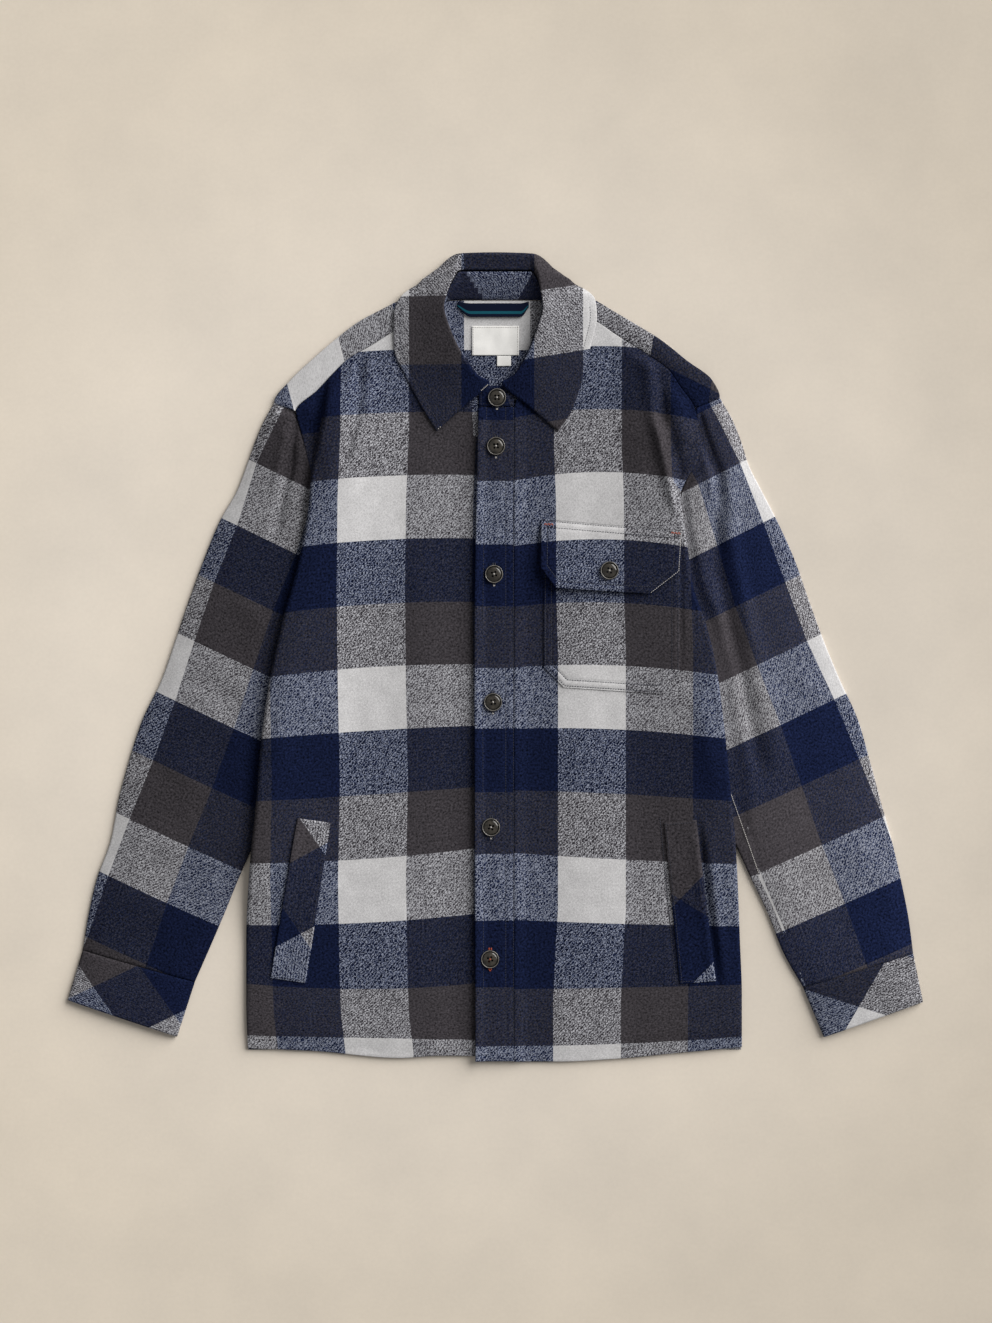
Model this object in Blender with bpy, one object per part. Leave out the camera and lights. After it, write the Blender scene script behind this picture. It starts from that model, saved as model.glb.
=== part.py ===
"""Checked shirt-jacket laid flat, sleeves down: a thin wall for each cut piece, in metres, +Z up.

The origin is on the floor under the middle of the garment. The collar is towards +Y, and left and
right are those of a viewer who looks down on the fronts. Sizes below are in millimetres.
"""

import math
from collections import namedtuple

import bmesh
import bpy
import numpy as np
from mathutils import Matrix

MM = 0.001

# Cloth and the room that sewn or stacked pieces leave between them
WALL = 2.0
TRIM_WALL = 1.5
CUFF_WALL = 2.6
TAPE_WALL = 1.0
LABEL_WALL = 0.8
SEAM = 0.5
TUCK_SEAM = 0.9
STACK = 0.4
UPPER = WALL + STACK

# Loft of the upper panels over the lower ones
LOFT = 2.2
SHOULDER_LOFT = 1.5
SLEEVE_CROWN = 3.0
ROLL = 2.6
ROLL_WIDTH = 20.0
EDGE_WIDTH = 24.0
PLACKET_STEP = WALL + STACK
PLACKET_STEP_WIDTH = 16.0

Fade = namedtuple("Fade", "start width")
# Where the loft begins and ends on a front: out from the centre line, and down from the shoulder
CHEST_OUT = Fade(35.0, 50.0)
CHEST_DOWN = Fade(250.0, 60.0)
SHOULDER_OUT = Fade(112.0, 40.0)
ROLL_DOWN = Fade(200.0, 40.0)
PLACKET_CLEAR = Fade(22.0, 30.0)
FOLD_FADE = 12.0
# The sleeve tucked under the body lifts the front's side, from below the armhole to the side's free part
SLEEVE_LIFT = WALL + STACK
LIFT_HELD = 30.0
LIFT_GONE = 85.0
LIFT_LEFT = Fade(238.0, 31.0)
LIFT_RIGHT = Fade(252.0, 30.0)
LIFT_END = Fade(-300.0, 105.0)
# Share of a sleeve's width that lies flat under the body, and where along the sleeve
TUCK_SHARE = 0.26
TUCK_TOP = Fade(225.0, 50.0)
TUCK_END = Fade(-240.0, 60.0)
SLEEVE_FOLD_FADE = 0.2
HEAD_ROWS = 3.0
CUFF_CROWN = (0.9, 0.8, 0.65, 0.5)

Edge = namedtuple("Edge", "y x")
Section = namedtuple("Section", "outer_x outer_y inner_x inner_y")
Fold = namedtuple("Fold", "x0 y0 x1 y1 height half_width")
CollarRow = namedtuple(
    "CollarRow", "foot_x foot_y foot_z top_x top_y top_z crest_x crest_y crest_z "
    "fold_x fold_y fold_z edge_x edge_y edge_z right_ratio edge_ratio"
)
Trim = namedtuple("Trim", "top_left top_right bottom_right bottom_left")
CutSide = namedtuple("CutSide", "top_x top_y side_x side_y cut_x cut_y")

# Outer edge of each front from the neck end of the yoke seam down: yoke seam, armhole, side fold
FRONT_LEFT_EDGE = tuple(Edge(*row) for row in (
    (354, -64), (335, -101), (319, -127), (304, -152), (289, -167), (273, -182), (252, -203.5),
    (233, -199), (207, -192.5), (187, -188.5), (161, -190), (100, -200.5), (39, -217), (-33, -232),
    (-94, -240), (-155, -245), (-216, -251), (-288, -254.5), (-349, -254.5), (-402, -253),
))
FRONT_RIGHT_EDGE = tuple(Edge(*row) for row in (
    (358, 73), (343, 104), (330, 123), (308, 158), (294, 177), (278, 188), (256, 203),
    (233, 209), (212, 213), (197, 212), (182, 203.5), (166, 195), (146, 193), (109, 196.5),
    (74, 201.5), (34, 215), (-8, 225), (-63, 232.5), (-136, 240), (-190, 245), (-288, 249.5),
    (-349, 251.5), (-402, 251.5),
))
# Neckline of the fronts and the shoulder strips, under the collar
NECK_LEFT = tuple(Edge(*row) for row in (
    (363, -57), (356, -61), (349, -60), (335, -55.5), (319, -49), (304, -41), (289, -33),
    (276, -26.5), (262, -16), (256, 12),
))
NECK_RIGHT = tuple(Edge(*row) for row in (
    (363, 56), (356, 58), (349, 56.5), (335, 52), (319, 47), (304, 40.5), (289, 33),
    (276, 26.8), (262, 21), (256, 19.6),
))
# Shoulder fold from the neck to its tip, then back along the sleeve head
SHOULDER_LEFT = tuple(Edge(*row) for row in (
    (365, -99), (355, -118), (345, -137), (324, -165), (304, -188), (284, -209), (261, -226),
    (252, -205),
))
SHOULDER_RIGHT = tuple(Edge(*row) for row in (
    (365, 103), (355, 119), (345, 136), (324, 170), (304, 195), (284, 221), (266, 229),
    (255.5, 204),
))
# Left end of the hem is a little shorter than the right
HEM_LEFT = tuple(Edge(*row) for row in (
    (-398.5, -253), (-401, -189), (-408.5, -97), (-406, -57), (-407.5, 20),
))
HEM_RIGHT = tuple(Edge(*row) for row in (
    (-412, 14), (-412, 66), (-409, 127), (-404, 178), (-397, 254),
))
HEM_MEAN = -402.0
HEM_REACH = 150.0
HEM_SHORT = 2.0
SIDE_FREE = -208.0

# Sleeve sections from the head to the cuff seam: silhouette, then the edge at the armhole or under
# the body
SLEEVE_LEFT = tuple(Section(*row) for row in (
    (-225.5, 260.2, -204.8, 250.6), (-236, 243, -200.5, 232.5), (-245, 222, -194, 207),
    (-253, 200, -186, 179.5), (-264, 171, -178, 149), (-281, 141, -180, 100), (-298, 100, -190, 55),
    (-313, 59, -201, 8), (-327, 18, -210, -35), (-341, -22, -219, -79), (-360.5, -63, -225, -124),
    (-374, -104, -235, -167), (-385, -145, -249.3, -196), (-393, -186, -262, -224.5),
    (-407.5, -226.5, -276, -259), (-416.5, -267, -294, -301), (-421.5, -298, -307, -330.5),
))
SLEEVE_RIGHT = tuple(Section(*row) for row in (
    (229, 265, 204.5, 254.2), (242, 243, 210, 232), (250.5, 222, 214, 210),
    (258.5, 197, 199, 174.5), (270, 174, 180, 144), (287, 141, 174, 98), (305.5, 100, 182, 53),
    (320, 59, 197, 8), (335, 18, 208.5, -35), (351.5, -22, 212.5, -79), (370, -63, 221, -124),
    (382, -104, 232, -167), (393, -145, 246.5, -194), (404.5, -186, 260.5, -224.5),
    (414, -226.5, 277, -259), (422, -267, 294, -301), (426.5, -301.5, 314, -336),
))
CUFF_LEFT = (Section(-421.5, -298.45, -307, -330.95), Section(-437, -349, -325, -386.5))
CUFF_RIGHT = (Section(426.5, -301.95, 314, -336.45), Section(436.5, -351, 335, -387))

# Largest folds, as ridges between two ends
BODY_FOLDS = tuple(Fold(*row) for row in (
    (-168, 282, -176, 225, 4.5, 9), (-176, 225, -184, 165, 4.0, 9), (-138, 300, -141, 250, 1.4, 9),
    (-148, 240, -150, 180, 1.4, 10), (157, 300, 164, 236, 3.6, 9), (164, 236, 182, 165, 4.5, 9),
    (184, 274, 198, 222, 1.8, 9), (-205, -20, -225, -110, 1.5, 12), (205, -40, 222, -120, 1.5, 12),
))
SLEEVE_FOLDS = tuple(Fold(*row) for row in (
    (-214, 236, -222, 170, 2.0, 9), (236, 190, 244, 100, 2.4, 11), (244, 100, 264, 8, 2.4, 11),
    (264, 8, 290, -104, 2.0, 12), (-290, -60, -262, -88, 1.4, 12), (-345, -196, -300, -180, 1.2, 12),
))

# Half collar from the front end to the middle of the back, as distances out from the centre line on
# the left, with what the right half's neckline and leaf edge measure of them
COLLAR = tuple(CollarRow(*row) for row in (
    (24, 276, 3.4, 15, 286, 9.5, 6, 279.5, 10, 33, 256, 7.4, 60, 231, 6, 1.03, 1.06),
    (27.5, 281, 3.4, 19, 290, 10.5, 18, 286, 12, 46, 269, 8.4, 74, 254, 6, 1.02, 1.06),
    (38, 302, 3.4, 31, 307, 12.5, 33, 305, 15, 62, 294, 9.6, 91, 286, 6, 0.97, 0.98),
    (51, 330, 3.4, 44, 332, 14.5, 46, 331, 17, 75, 323, 10.4, 103.5, 317, 6, 0.92, 0.935),
    (58.3, 355, 3.4, 51.5, 357, 14.5, 53.5, 357, 17, 80, 352, 10.4, 104, 347, 6.4, 0.92, 0.995),
    (53, 364.6, 2.8, 48.5, 371, 13.5, 50.5, 372, 16, 76, 369, 10, 98.5, 366, 6, 0.94, 1.03),
    (46, 365.4, 1.8, 42, 386, 11, 44.4, 390.7, 14, 64, 384.5, 8, 81, 379, 1.3, 1.0, 1.03),
    (40, 365.6, 1.6, 38, 392.6, 9, 40.6, 400, 12, 60, 395, 3.5, 51, 381.5, 1.0, 1.0, 1.0),
    (33, 365.7, 1.5, 34, 393.9, 8, 36.2, 409.5, 10.5, 37.2, 411.8, 5, 31, 381, 1.0, 1.02, 1.02),
    (0, 365.7, 1.5, 0, 393.9, 7.6, 0, 410.5, 10, 0, 413, 5, 0, 381, 1.0, 1.0, 1.0),
))
COLLAR_WALL = 1.8
COLLAR_SEAM = 0.9
STAND_BOW = 0.8
STAND_SHORT = 2
LEAF_KNOTS = (0.0, 0.22, 0.55, 1.0)

# Trim that lies on the panels
PLACKET_EDGES = (Edge(256, -17.6), Edge(18, -21.6), Edge(-411.5, -20.6))
PLACKET_RIGHT = 18.8
LEFT_FRONT_REACH = 16.5
TAB = Trim((-13.8, 277.5), (18.6, 277.5), (18.6, 256.8), (-13.8, 256.8))
POCKET_LEFT = CutSide(49, 131, 49, -9, 69.5, -30)
POCKET_RIGHT = CutSide(187.5, 131, 187.5, -15, 169, -36.5)
FLAP_LEFT = CutSide(46.5, 142, 46, 92, 61, 71.5)
FLAP_RIGHT = CutSide(189.5, 129.5, 187, 88, 158, 65.5)
FLAP_LIFT = 2.2
FLAP_LIFT_RIGHT = 0.3
WELT_LEFT = Trim((-201.5, -163), (-168, -168), (-193.5, -331.5), (-229.5, -326.5))
WELT_RIGHT = Trim((171.5, -168), (204.5, -165), (225, -329.5), (188, -332.5))
LOOP_ENDS = ((-39, 364.0), (34, 364.0))
LOOP_RUN = ((-25, 355), (25, 355))
LOOP_WIDTH = 14.0
LOOP_END_WIDTH = 6.0
LABEL = Trim((-24, 339), (24, 339), (24, 309), (-24, 309))
SIZE_TAB = Trim((1.5, 308.5), (15.8, 308.5), (15.8, 298), (1.5, 298))

# Buttons: places, then the turned section as shares of the radius and the height
ButtonPlace = namedtuple("ButtonPlace", "name x y")
BUTTONS = tuple(ButtonPlace(*row) for row in (
    ("button_neck", 1.5, 265.5), ("button_1", 0.5, 216), ("button_2", -1.5, 85.5),
    ("button_3", -2.5, -45), ("button_4", -4.5, -172.5), ("button_5", -5.5, -307),
))
POCKET_BUTTON = ButtonPlace("button_pocket", 116, 89)
BUTTON_RADIUS = 9.4
BUTTON_HEIGHT = 3.4
Turn = namedtuple("Turn", "radius height")
BUTTON_SECTION = tuple(Turn(*row) for row in (
    (0.0, 0.0), (0.86, 0.0), (1.0, 0.38), (0.97, 0.86), (0.87, 1.0), (0.76, 0.88), (0.66, 0.7), (0.0, 0.64),
))
HOLE_RADIUS = 0.95
HOLE_SPREAD = 1.9

# Colour, roughness and metallic value of each finish
Finish = namedtuple("Finish", "colour roughness metallic")
CHECK_CLOTH = Finish((0.11, 0.11, 0.14), 0.92, 0.0)
BIAS_CLOTH = Finish((0.09, 0.09, 0.12), 0.92, 0.0)
HORN = Finish((0.045, 0.032, 0.024), 0.3, 0.0)
TAPE = Finish((0.01, 0.03, 0.09), 0.75, 0.0)
LABEL_CLOTH = Finish((0.78, 0.74, 0.66), 0.8, 0.0)

# How finely the walls are divided
FRONT_ROWS = 34
FRONT_COLUMNS = (0, 0.09, 0.2, 0.32, 0.44, 0.55, 0.65, 0.735, 0.805, 0.865, 0.915, 0.95, 0.98, 1)
ROW_EASE = 1.35
SLEEVE_COLUMNS = (0, 0.04, 0.11, 0.22, 0.36, 0.5, 0.63, 0.74, 0.86, 1)
SLEEVE_ROWS = 33
FLAT_COLUMNS = (0, 0.5, 1)
TUCKED_ROWS = 25
FREE_ROWS = 8
YOKE_ROWS = 22
STRIP_ROWS = 18
STRIP_COLUMNS = (0, 0.12, 0.35, 0.7, 1)
PLACKET_ROWS = 12
SIDE_ROWS = 9
CUT_ROWS = 3
WELT_ROWS = 12
WELT_COLUMNS = 5
POCKET_COLUMNS = (0, 0.18, 0.36, 0.54, 0.69, 0.81, 0.9, 0.96, 1)
TRIM_REACH = 4.0
COLLAR_STATIONS = 2
STAND_SAMPLES = 4
LEAF_SAMPLES = 9
BUTTON_SIDES = 16
HOLE_SIDES = 6
SHARP_ANGLE = math.radians(40)


def smoothstep(value):
    """Ease from 0 to 1 as value does, flat beyond both ends."""
    held = np.clip(value, 0.0, 1.0)
    return held * held * (3.0 - 2.0 * held)


def eased_curve(at, knots, values):
    """Monotone cubic through the knots, so that an outline bulges nowhere between its rows."""
    knots = np.asarray(knots, float)
    values = np.asarray(values, float)
    if knots[0] > knots[-1]:
        knots = knots[::-1]
        values = values[::-1]
    span = np.diff(knots)
    rise = np.diff(values) / span
    slope = np.zeros_like(values)
    slope[0] = rise[0]
    slope[-1] = rise[-1]
    same_way = rise[:-1] * rise[1:] > 0
    before = 2 * span[1:] + span[:-1]
    after = span[1:] + 2 * span[:-1]
    safe_first = np.where(same_way, rise[:-1], 1.0)
    safe_second = np.where(same_way, rise[1:], 1.0)
    mean = (before + after) / (before / safe_first + after / safe_second)
    slope[1:-1] = np.where(same_way, mean, 0.0)
    at = np.clip(np.asarray(at, float), knots[0], knots[-1])
    index = np.clip(np.searchsorted(knots, at) - 1, 0, len(span) - 1)
    t = (at - knots[index]) / span[index]
    step = span[index]
    return (
        (1 + 2 * t) * (1 - t) ** 2 * values[index]
        + t * (1 - t) ** 2 * step * slope[index]
        + t * t * (3 - 2 * t) * values[index + 1]
        - t * t * (1 - t) * step * slope[index + 1]
    )


def fade(value, reach):
    """Ease from 0 at the start of a fade to 1 at its end."""
    return smoothstep((value - reach.start) / reach.width)


def fade_down(value, reach):
    """The same for a value that falls from the start."""
    return smoothstep((reach.start - value) / reach.width)


def straight_x(table, y):
    """Distance of an edge from the centre line at each y, in straight runs between the table's rows."""
    order = sorted(table)
    return np.interp(y, [row.y for row in order], [row.x for row in order])


def hem_y(table, x):
    """Height of the hem line at each x."""
    return eased_curve(x, [row.x for row in table], [row.y for row in table])


def ridge(x, y, folds):
    """Sum of the soft ridges that stand along the folds."""
    total = np.zeros(np.broadcast(x, y).shape)
    for fold in folds:
        run_x = fold.x1 - fold.x0
        run_y = fold.y1 - fold.y0
        length = math.hypot(run_x, run_y)
        along = ((x - fold.x0) * run_x + (y - fold.y0) * run_y) / length
        across = ((x - fold.x0) * run_y - (y - fold.y0) * run_x) / length
        past_end = np.maximum(np.maximum(-along, along - length), 0.0)
        distance = np.hypot(across, past_end)
        total = total + fold.height * np.exp(-((distance / fold.half_width) ** 2))
    return total


def grid(left, right, fractions):
    """Rows of points between two edges, each an array of (x, y)."""
    share = np.asarray(fractions)[None, :, None]
    return left[:, None, :] * (1 - share) + right[:, None, :] * share


def front_underside(x, y, left_side):
    """Height of a front's lower face: loft, edge roll, tucked sleeve, placket step and folds."""
    edge = FRONT_LEFT_EDGE if left_side else FRONT_RIGHT_EDGE
    hem = HEM_LEFT if left_side else HEM_RIGHT
    from_edge = np.abs(straight_x(edge, y) - x)
    from_hem = np.maximum(y - hem_y(hem, x), 0.0)
    at_edge = smoothstep(from_edge / EDGE_WIDTH) * smoothstep(from_hem / EDGE_WIDTH)
    chest = fade(np.abs(x), CHEST_OUT) * fade_down(y, CHEST_DOWN)
    shoulder = fade(np.abs(x), SHOULDER_OUT)
    loft = np.maximum(LOFT * chest, SHOULDER_LOFT * shoulder) * at_edge
    side = fade_down(y, LIFT_LEFT if left_side else LIFT_RIGHT) * fade(y, LIFT_END)
    held = 1 - smoothstep((from_edge - LIFT_HELD) / (LIFT_GONE - LIFT_HELD))
    rolled = np.clip(1 - (2 * from_edge / ROLL_WIDTH - 1) ** 2, 0.0, 1.0)
    below_armhole = fade_down(y, ROLL_DOWN) * smoothstep(from_hem / EDGE_WIDTH)
    height = UPPER + loft + SLEEVE_LIFT * side * held + ROLL * rolled * below_armhole
    height = height + ridge(x, y, BODY_FOLDS) * smoothstep(from_edge / FOLD_FADE)
    if left_side:
        return UPPER + (height - UPPER) * fade(-x, PLACKET_CLEAR)
    return height + PLACKET_STEP * (1 - smoothstep((x - PLACKET_RIGHT) / PLACKET_STEP_WIDTH))


def front_face(x, y):
    """Height of the fronts' outer face, which trim is laid on."""
    return np.where(x < 0, front_underside(x, y, True), front_underside(x, y, False)) + WALL


def trim_bed(plan):
    """Lowest height at which trim clears the fronts' outer face under and around each point."""
    x, y = plan[..., 0], plan[..., 1]
    steps = (-TRIM_REACH, 0, TRIM_REACH)
    around = [front_face(x + dx, y + dy) for dx in steps for dy in steps]
    return np.max(around, axis=0) + STACK


def with_height(plan, low):
    """Points of a plan grid at the heights low."""
    return np.concatenate([plan, np.asarray(low)[..., None]], axis=2)


def finish_material(name, finish):
    """A material of one piece."""
    material = bpy.data.materials.new(name)
    material.use_nodes = True
    shader = material.node_tree.nodes["Principled BSDF"]
    shader.inputs["Base Color"].default_value = (*finish.colour, 1.0)
    shader.inputs["Roughness"].default_value = finish.roughness
    shader.inputs["Metallic"].default_value = finish.metallic
    return material


def add_object(name, mesh, finish, parent):
    """Link a mesh as the named piece."""
    piece = bpy.data.objects.new(name, mesh)
    mesh.materials.append(finish_material(name + "_finish", finish))
    piece.parent = parent
    bpy.context.scene.collection.objects.link(piece)
    return piece


def wall_piece(name, low, high, finish, parent):
    """Closed wall between two grids of points that have the same rows and columns."""
    rows, columns = low.shape[:2]
    count = rows * columns
    index = np.arange(count).reshape(rows, columns)
    quads = np.stack([index[:-1, :-1], index[:-1, 1:], index[1:, 1:], index[1:, :-1]], axis=-1)
    upper = quads.reshape(-1, 4) + count
    lower = quads.reshape(-1, 4)[:, ::-1]
    rim = np.concatenate([index[0, :-1], index[:-1, -1], index[-1, :0:-1], index[:0:-1, 0]])
    after = np.roll(rim, -1)
    sides = np.stack([rim, after, after + count, rim + count], axis=1)[:, ::-1]
    points = np.concatenate([low.reshape(-1, 3), high.reshape(-1, 3)]) * MM
    mesh = bpy.data.meshes.new(name)
    mesh.from_pydata(points.tolist(), [], np.concatenate([upper, lower, sides]).tolist())
    shaped = bmesh.new()
    shaped.from_mesh(mesh)
    bmesh.ops.recalc_face_normals(shaped, faces=shaped.faces)
    shaped.to_mesh(mesh)
    shaped.free()
    mesh.shade_smooth()
    mesh.set_sharp_from_angle(angle=SHARP_ANGLE)
    return add_object(name, mesh, finish, parent)


def laid_piece(name, plan, low, wall, finish, parent):
    """Wall whose upper face is its lower face moved straight up."""
    under = with_height(plan, low)
    over = with_height(plan, np.asarray(low) + wall)
    return wall_piece(name, under, over, finish, parent)


def bent_piece(name, middle, wall, finish, parent):
    """Wall on both sides of a bent middle surface, along its normals."""
    along = np.gradient(middle, axis=0)
    across = np.gradient(middle, axis=1)
    normal = np.cross(along, across)
    normal /= np.linalg.norm(normal, axis=2, keepdims=True)
    return wall_piece(name, middle - normal * wall / 2, middle + normal * wall / 2, finish, parent)


def quad_plan(trim, rows, columns):
    """Grid over a four-cornered piece."""
    down = np.linspace(0, 1, rows)[:, None]
    left = np.array(trim.top_left) * (1 - down) + np.array(trim.bottom_left) * down
    right = np.array(trim.top_right) * (1 - down) + np.array(trim.bottom_right) * down
    return grid(left, right, np.linspace(0, 1, columns))


def cut_side(side):
    """Points down a side that is cut off at its lower corner."""
    straight = np.linspace((side.top_x, side.top_y), (side.side_x, side.side_y), SIDE_ROWS)
    corner = np.linspace((side.side_x, side.side_y), (side.cut_x, side.cut_y), CUT_ROWS)
    return np.concatenate([straight, corner[1:]])


def front_plan(left_side):
    """Plan grid of a front, its lowest rows bent to the hem."""
    edge = FRONT_LEFT_EDGE if left_side else FRONT_RIGHT_EDGE
    neck = NECK_LEFT if left_side else NECK_RIGHT
    hem = HEM_LEFT if left_side else HEM_RIGHT
    top = edge[0].y - WALL
    y = top + (HEM_MEAN - top) * np.linspace(0, 1, FRONT_ROWS) ** ROW_EASE
    outer = straight_x(edge, y)
    below_neck = LEFT_FRONT_REACH if left_side else PLACKET_RIGHT + SEAM
    inner = np.where(y > neck[-1].y, straight_x(neck, y), below_neck)
    plan = grid(np.stack([inner, y], axis=1), np.stack([outer, y], axis=1), FRONT_COLUMNS)
    bend = smoothstep((HEM_MEAN + HEM_REACH - plan[..., 1]) / HEM_REACH)
    plan[..., 1] += (hem_y(hem, plan[..., 0]) - HEM_MEAN) * bend
    return plan


def build_fronts(parent):
    """Both fronts."""
    for name, left_side in (("front_left", True), ("front_right", False)):
        plan = front_plan(left_side)
        low = front_underside(plan[..., 0], plan[..., 1], left_side)
        laid_piece(name, plan, low, WALL, CHECK_CLOTH, parent)


def build_back(parent):
    """Back panel, flat on the floor between the tucked edges of the sleeves."""
    y = np.linspace(SIDE_FREE, HEM_MEAN + HEM_SHORT, FREE_ROWS)
    sides = []
    for sections, edge, inward in (
        (SLEEVE_LEFT, FRONT_LEFT_EDGE, 1),
        (SLEEVE_RIGHT, FRONT_RIGHT_EDGE, -1),
    ):
        tucked = sleeve_edges(sections, SLEEVE_ROWS)[1][:TUCKED_ROWS] + (inward * TUCK_SEAM, 0)
        free = np.stack([straight_x(edge, y) + inward * SEAM, y], axis=1)
        sides.append(np.concatenate([tucked, free]))
    plan = grid(sides[0], sides[1], FLAT_COLUMNS)
    laid_piece("back", plan, np.zeros(plan.shape[:2]), WALL, CHECK_CLOTH, parent)


def build_yoke(parent):
    """Yoke: the flat back part and the two strips that come over the shoulders."""
    edges = []
    for shoulder in (SHOULDER_LEFT, SHOULDER_RIGHT):
        y = np.linspace(shoulder[0].y, shoulder[-1].y, YOKE_ROWS)
        edges.append(np.stack([straight_x(shoulder, y), y], axis=1))
    plan = grid(edges[0], edges[1], FLAT_COLUMNS)
    laid_piece("yoke_back", plan, np.zeros(plan.shape[:2]), WALL, CHECK_CLOTH, parent)
    for name, shoulder, neck, front in (
        ("yoke_left", SHOULDER_LEFT, NECK_LEFT, FRONT_LEFT_EDGE),
        ("yoke_right", SHOULDER_RIGHT, NECK_RIGHT, FRONT_RIGHT_EDGE),
    ):
        way = math.copysign(1.0, shoulder[0].x)
        y = np.linspace(neck[0].y - SEAM, shoulder[-1].y + TUCK_SEAM, STRIP_ROWS)
        fold = straight_x(shoulder, y)
        seam = straight_x(front, y) + way * 2 * SEAM
        inner = np.where(y > front[0].y, straight_x(neck, y), seam)
        inner = np.where(way * inner < way * straight_x(neck, y), straight_x(neck, y), inner)
        plan = grid(np.stack([fold, y], axis=1), np.stack([inner, y], axis=1), STRIP_COLUMNS)
        share = np.asarray(STRIP_COLUMNS)[None, :]
        puff = SHOULDER_LOFT * 4 * share * (1 - share)
        outside_collar = fade(np.abs(plan[..., 0]), SHOULDER_OUT)
        laid_piece(name, plan, UPPER + puff * outside_collar, WALL, CHECK_CLOTH, parent)


def sleeve_edges(sections, count):
    """Both edges of a sleeve, at sections spread evenly between its head and its cuff seam."""
    knots = np.arange(len(sections))
    at = np.linspace(0, len(sections) - 1, count)
    points = np.stack([eased_curve(at, knots, column) for column in zip(*sections)], axis=1)
    return points[:, :2], points[:, 2:]


def sleeve_crown(share):
    """Rise of a sleeve between its two folded edges."""
    return SLEEVE_CROWN * (1 - np.abs(2 * share - 1) ** 4)


def sleeve_underside(plan, columns):
    """Height of a sleeve's upper layer: crowned between its edges, flat where the body lies on it."""
    y = plan[:, -1, 1][:, None]
    share = np.asarray(columns)[None, :]
    tucked = fade_down(y, TUCK_TOP) * fade(y, TUCK_END)
    part = np.clip(share / (1.0 - TUCK_SHARE * tucked), 0.0, 1.0)
    between = smoothstep((1 - part) / SLEEVE_FOLD_FADE) * smoothstep(part / SLEEVE_FOLD_FADE)
    folds = ridge(plan[..., 0], plan[..., 1], SLEEVE_FOLDS) * between
    from_head = smoothstep(np.arange(len(plan)) / HEAD_ROWS)[:, None]
    return UPPER + sleeve_crown(part) * from_head + folds


def build_sleeves(parent):
    """Sleeves and cuffs, an upper layer over a flat one each."""
    for side, sections, cuff in (
        ("left", SLEEVE_LEFT, CUFF_LEFT),
        ("right", SLEEVE_RIGHT, CUFF_RIGHT),
    ):
        outer, inner = sleeve_edges(sections, SLEEVE_ROWS)
        plan = grid(outer, inner, SLEEVE_COLUMNS)
        low = sleeve_underside(plan, SLEEVE_COLUMNS)
        laid_piece(f"sleeve_{side}_top", plan, low, WALL, CHECK_CLOTH, parent)
        plan = grid(outer, inner, FLAT_COLUMNS)
        laid_piece(f"sleeve_{side}_under", plan, np.zeros(plan.shape[:2]), WALL, CHECK_CLOTH, parent)
        outer, inner = sleeve_edges(cuff, len(CUFF_CROWN))
        plan = grid(outer, inner, SLEEVE_COLUMNS)
        crown = sleeve_crown(np.asarray(SLEEVE_COLUMNS)[None, :]) * np.asarray(CUFF_CROWN)[:, None]
        laid_piece(f"cuff_{side}_top", plan, CUFF_WALL + STACK + crown, CUFF_WALL, BIAS_CLOTH, parent)
        plan = grid(outer, inner, FLAT_COLUMNS)
        laid_piece(f"cuff_{side}_under", plan, np.zeros(plan.shape[:2]), CUFF_WALL, BIAS_CLOTH, parent)


def build_placket(parent):
    """Buttonhole band on the right-hand front, over the left one, and the stand's end above it."""
    y = np.linspace(PLACKET_EDGES[0].y, PLACKET_EDGES[-1].y, PLACKET_ROWS)
    left = straight_x(PLACKET_EDGES, y)
    right = np.full_like(y, PLACKET_RIGHT)
    plan = grid(np.stack([left, y], axis=1), np.stack([right, y], axis=1), FLAT_COLUMNS)
    low = np.full(plan.shape[:2], UPPER + PLACKET_STEP)
    laid_piece("placket", plan, low, WALL, CHECK_CLOTH, parent)
    plan = quad_plan(TAB, 2, 2)
    low = np.full(plan.shape[:2], UPPER + PLACKET_STEP)
    laid_piece("stand_tab", plan, low, WALL, BIAS_CLOTH, parent)


def whole_collar():
    """Collar sections from the left front end round the back to the right front end."""
    left = []
    right = []
    for row in COLLAR:
        points = np.array(row[:-2]).reshape(5, 3)
        left.append(points * (-1, 1, 1))
        points[:3, 0] *= row.right_ratio
        points[3, 0] *= (row.right_ratio + row.edge_ratio) / 2
        points[4, 0] *= row.edge_ratio
        right.append(points)
    return np.array(left + right[-2::-1])


def collar_sections():
    """The same with more sections between, each given by its foot, top, crest, fold and edge."""
    rows = whole_collar()
    knots = np.arange(len(rows))
    at = np.linspace(0, len(rows) - 1, (len(rows) - 1) * COLLAR_STATIONS + 1)
    flat = rows.reshape(len(rows), -1)
    dense = np.stack([eased_curve(at, knots, column) for column in flat.T], axis=1)
    return dense.reshape(len(at), 5, 3)


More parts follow.
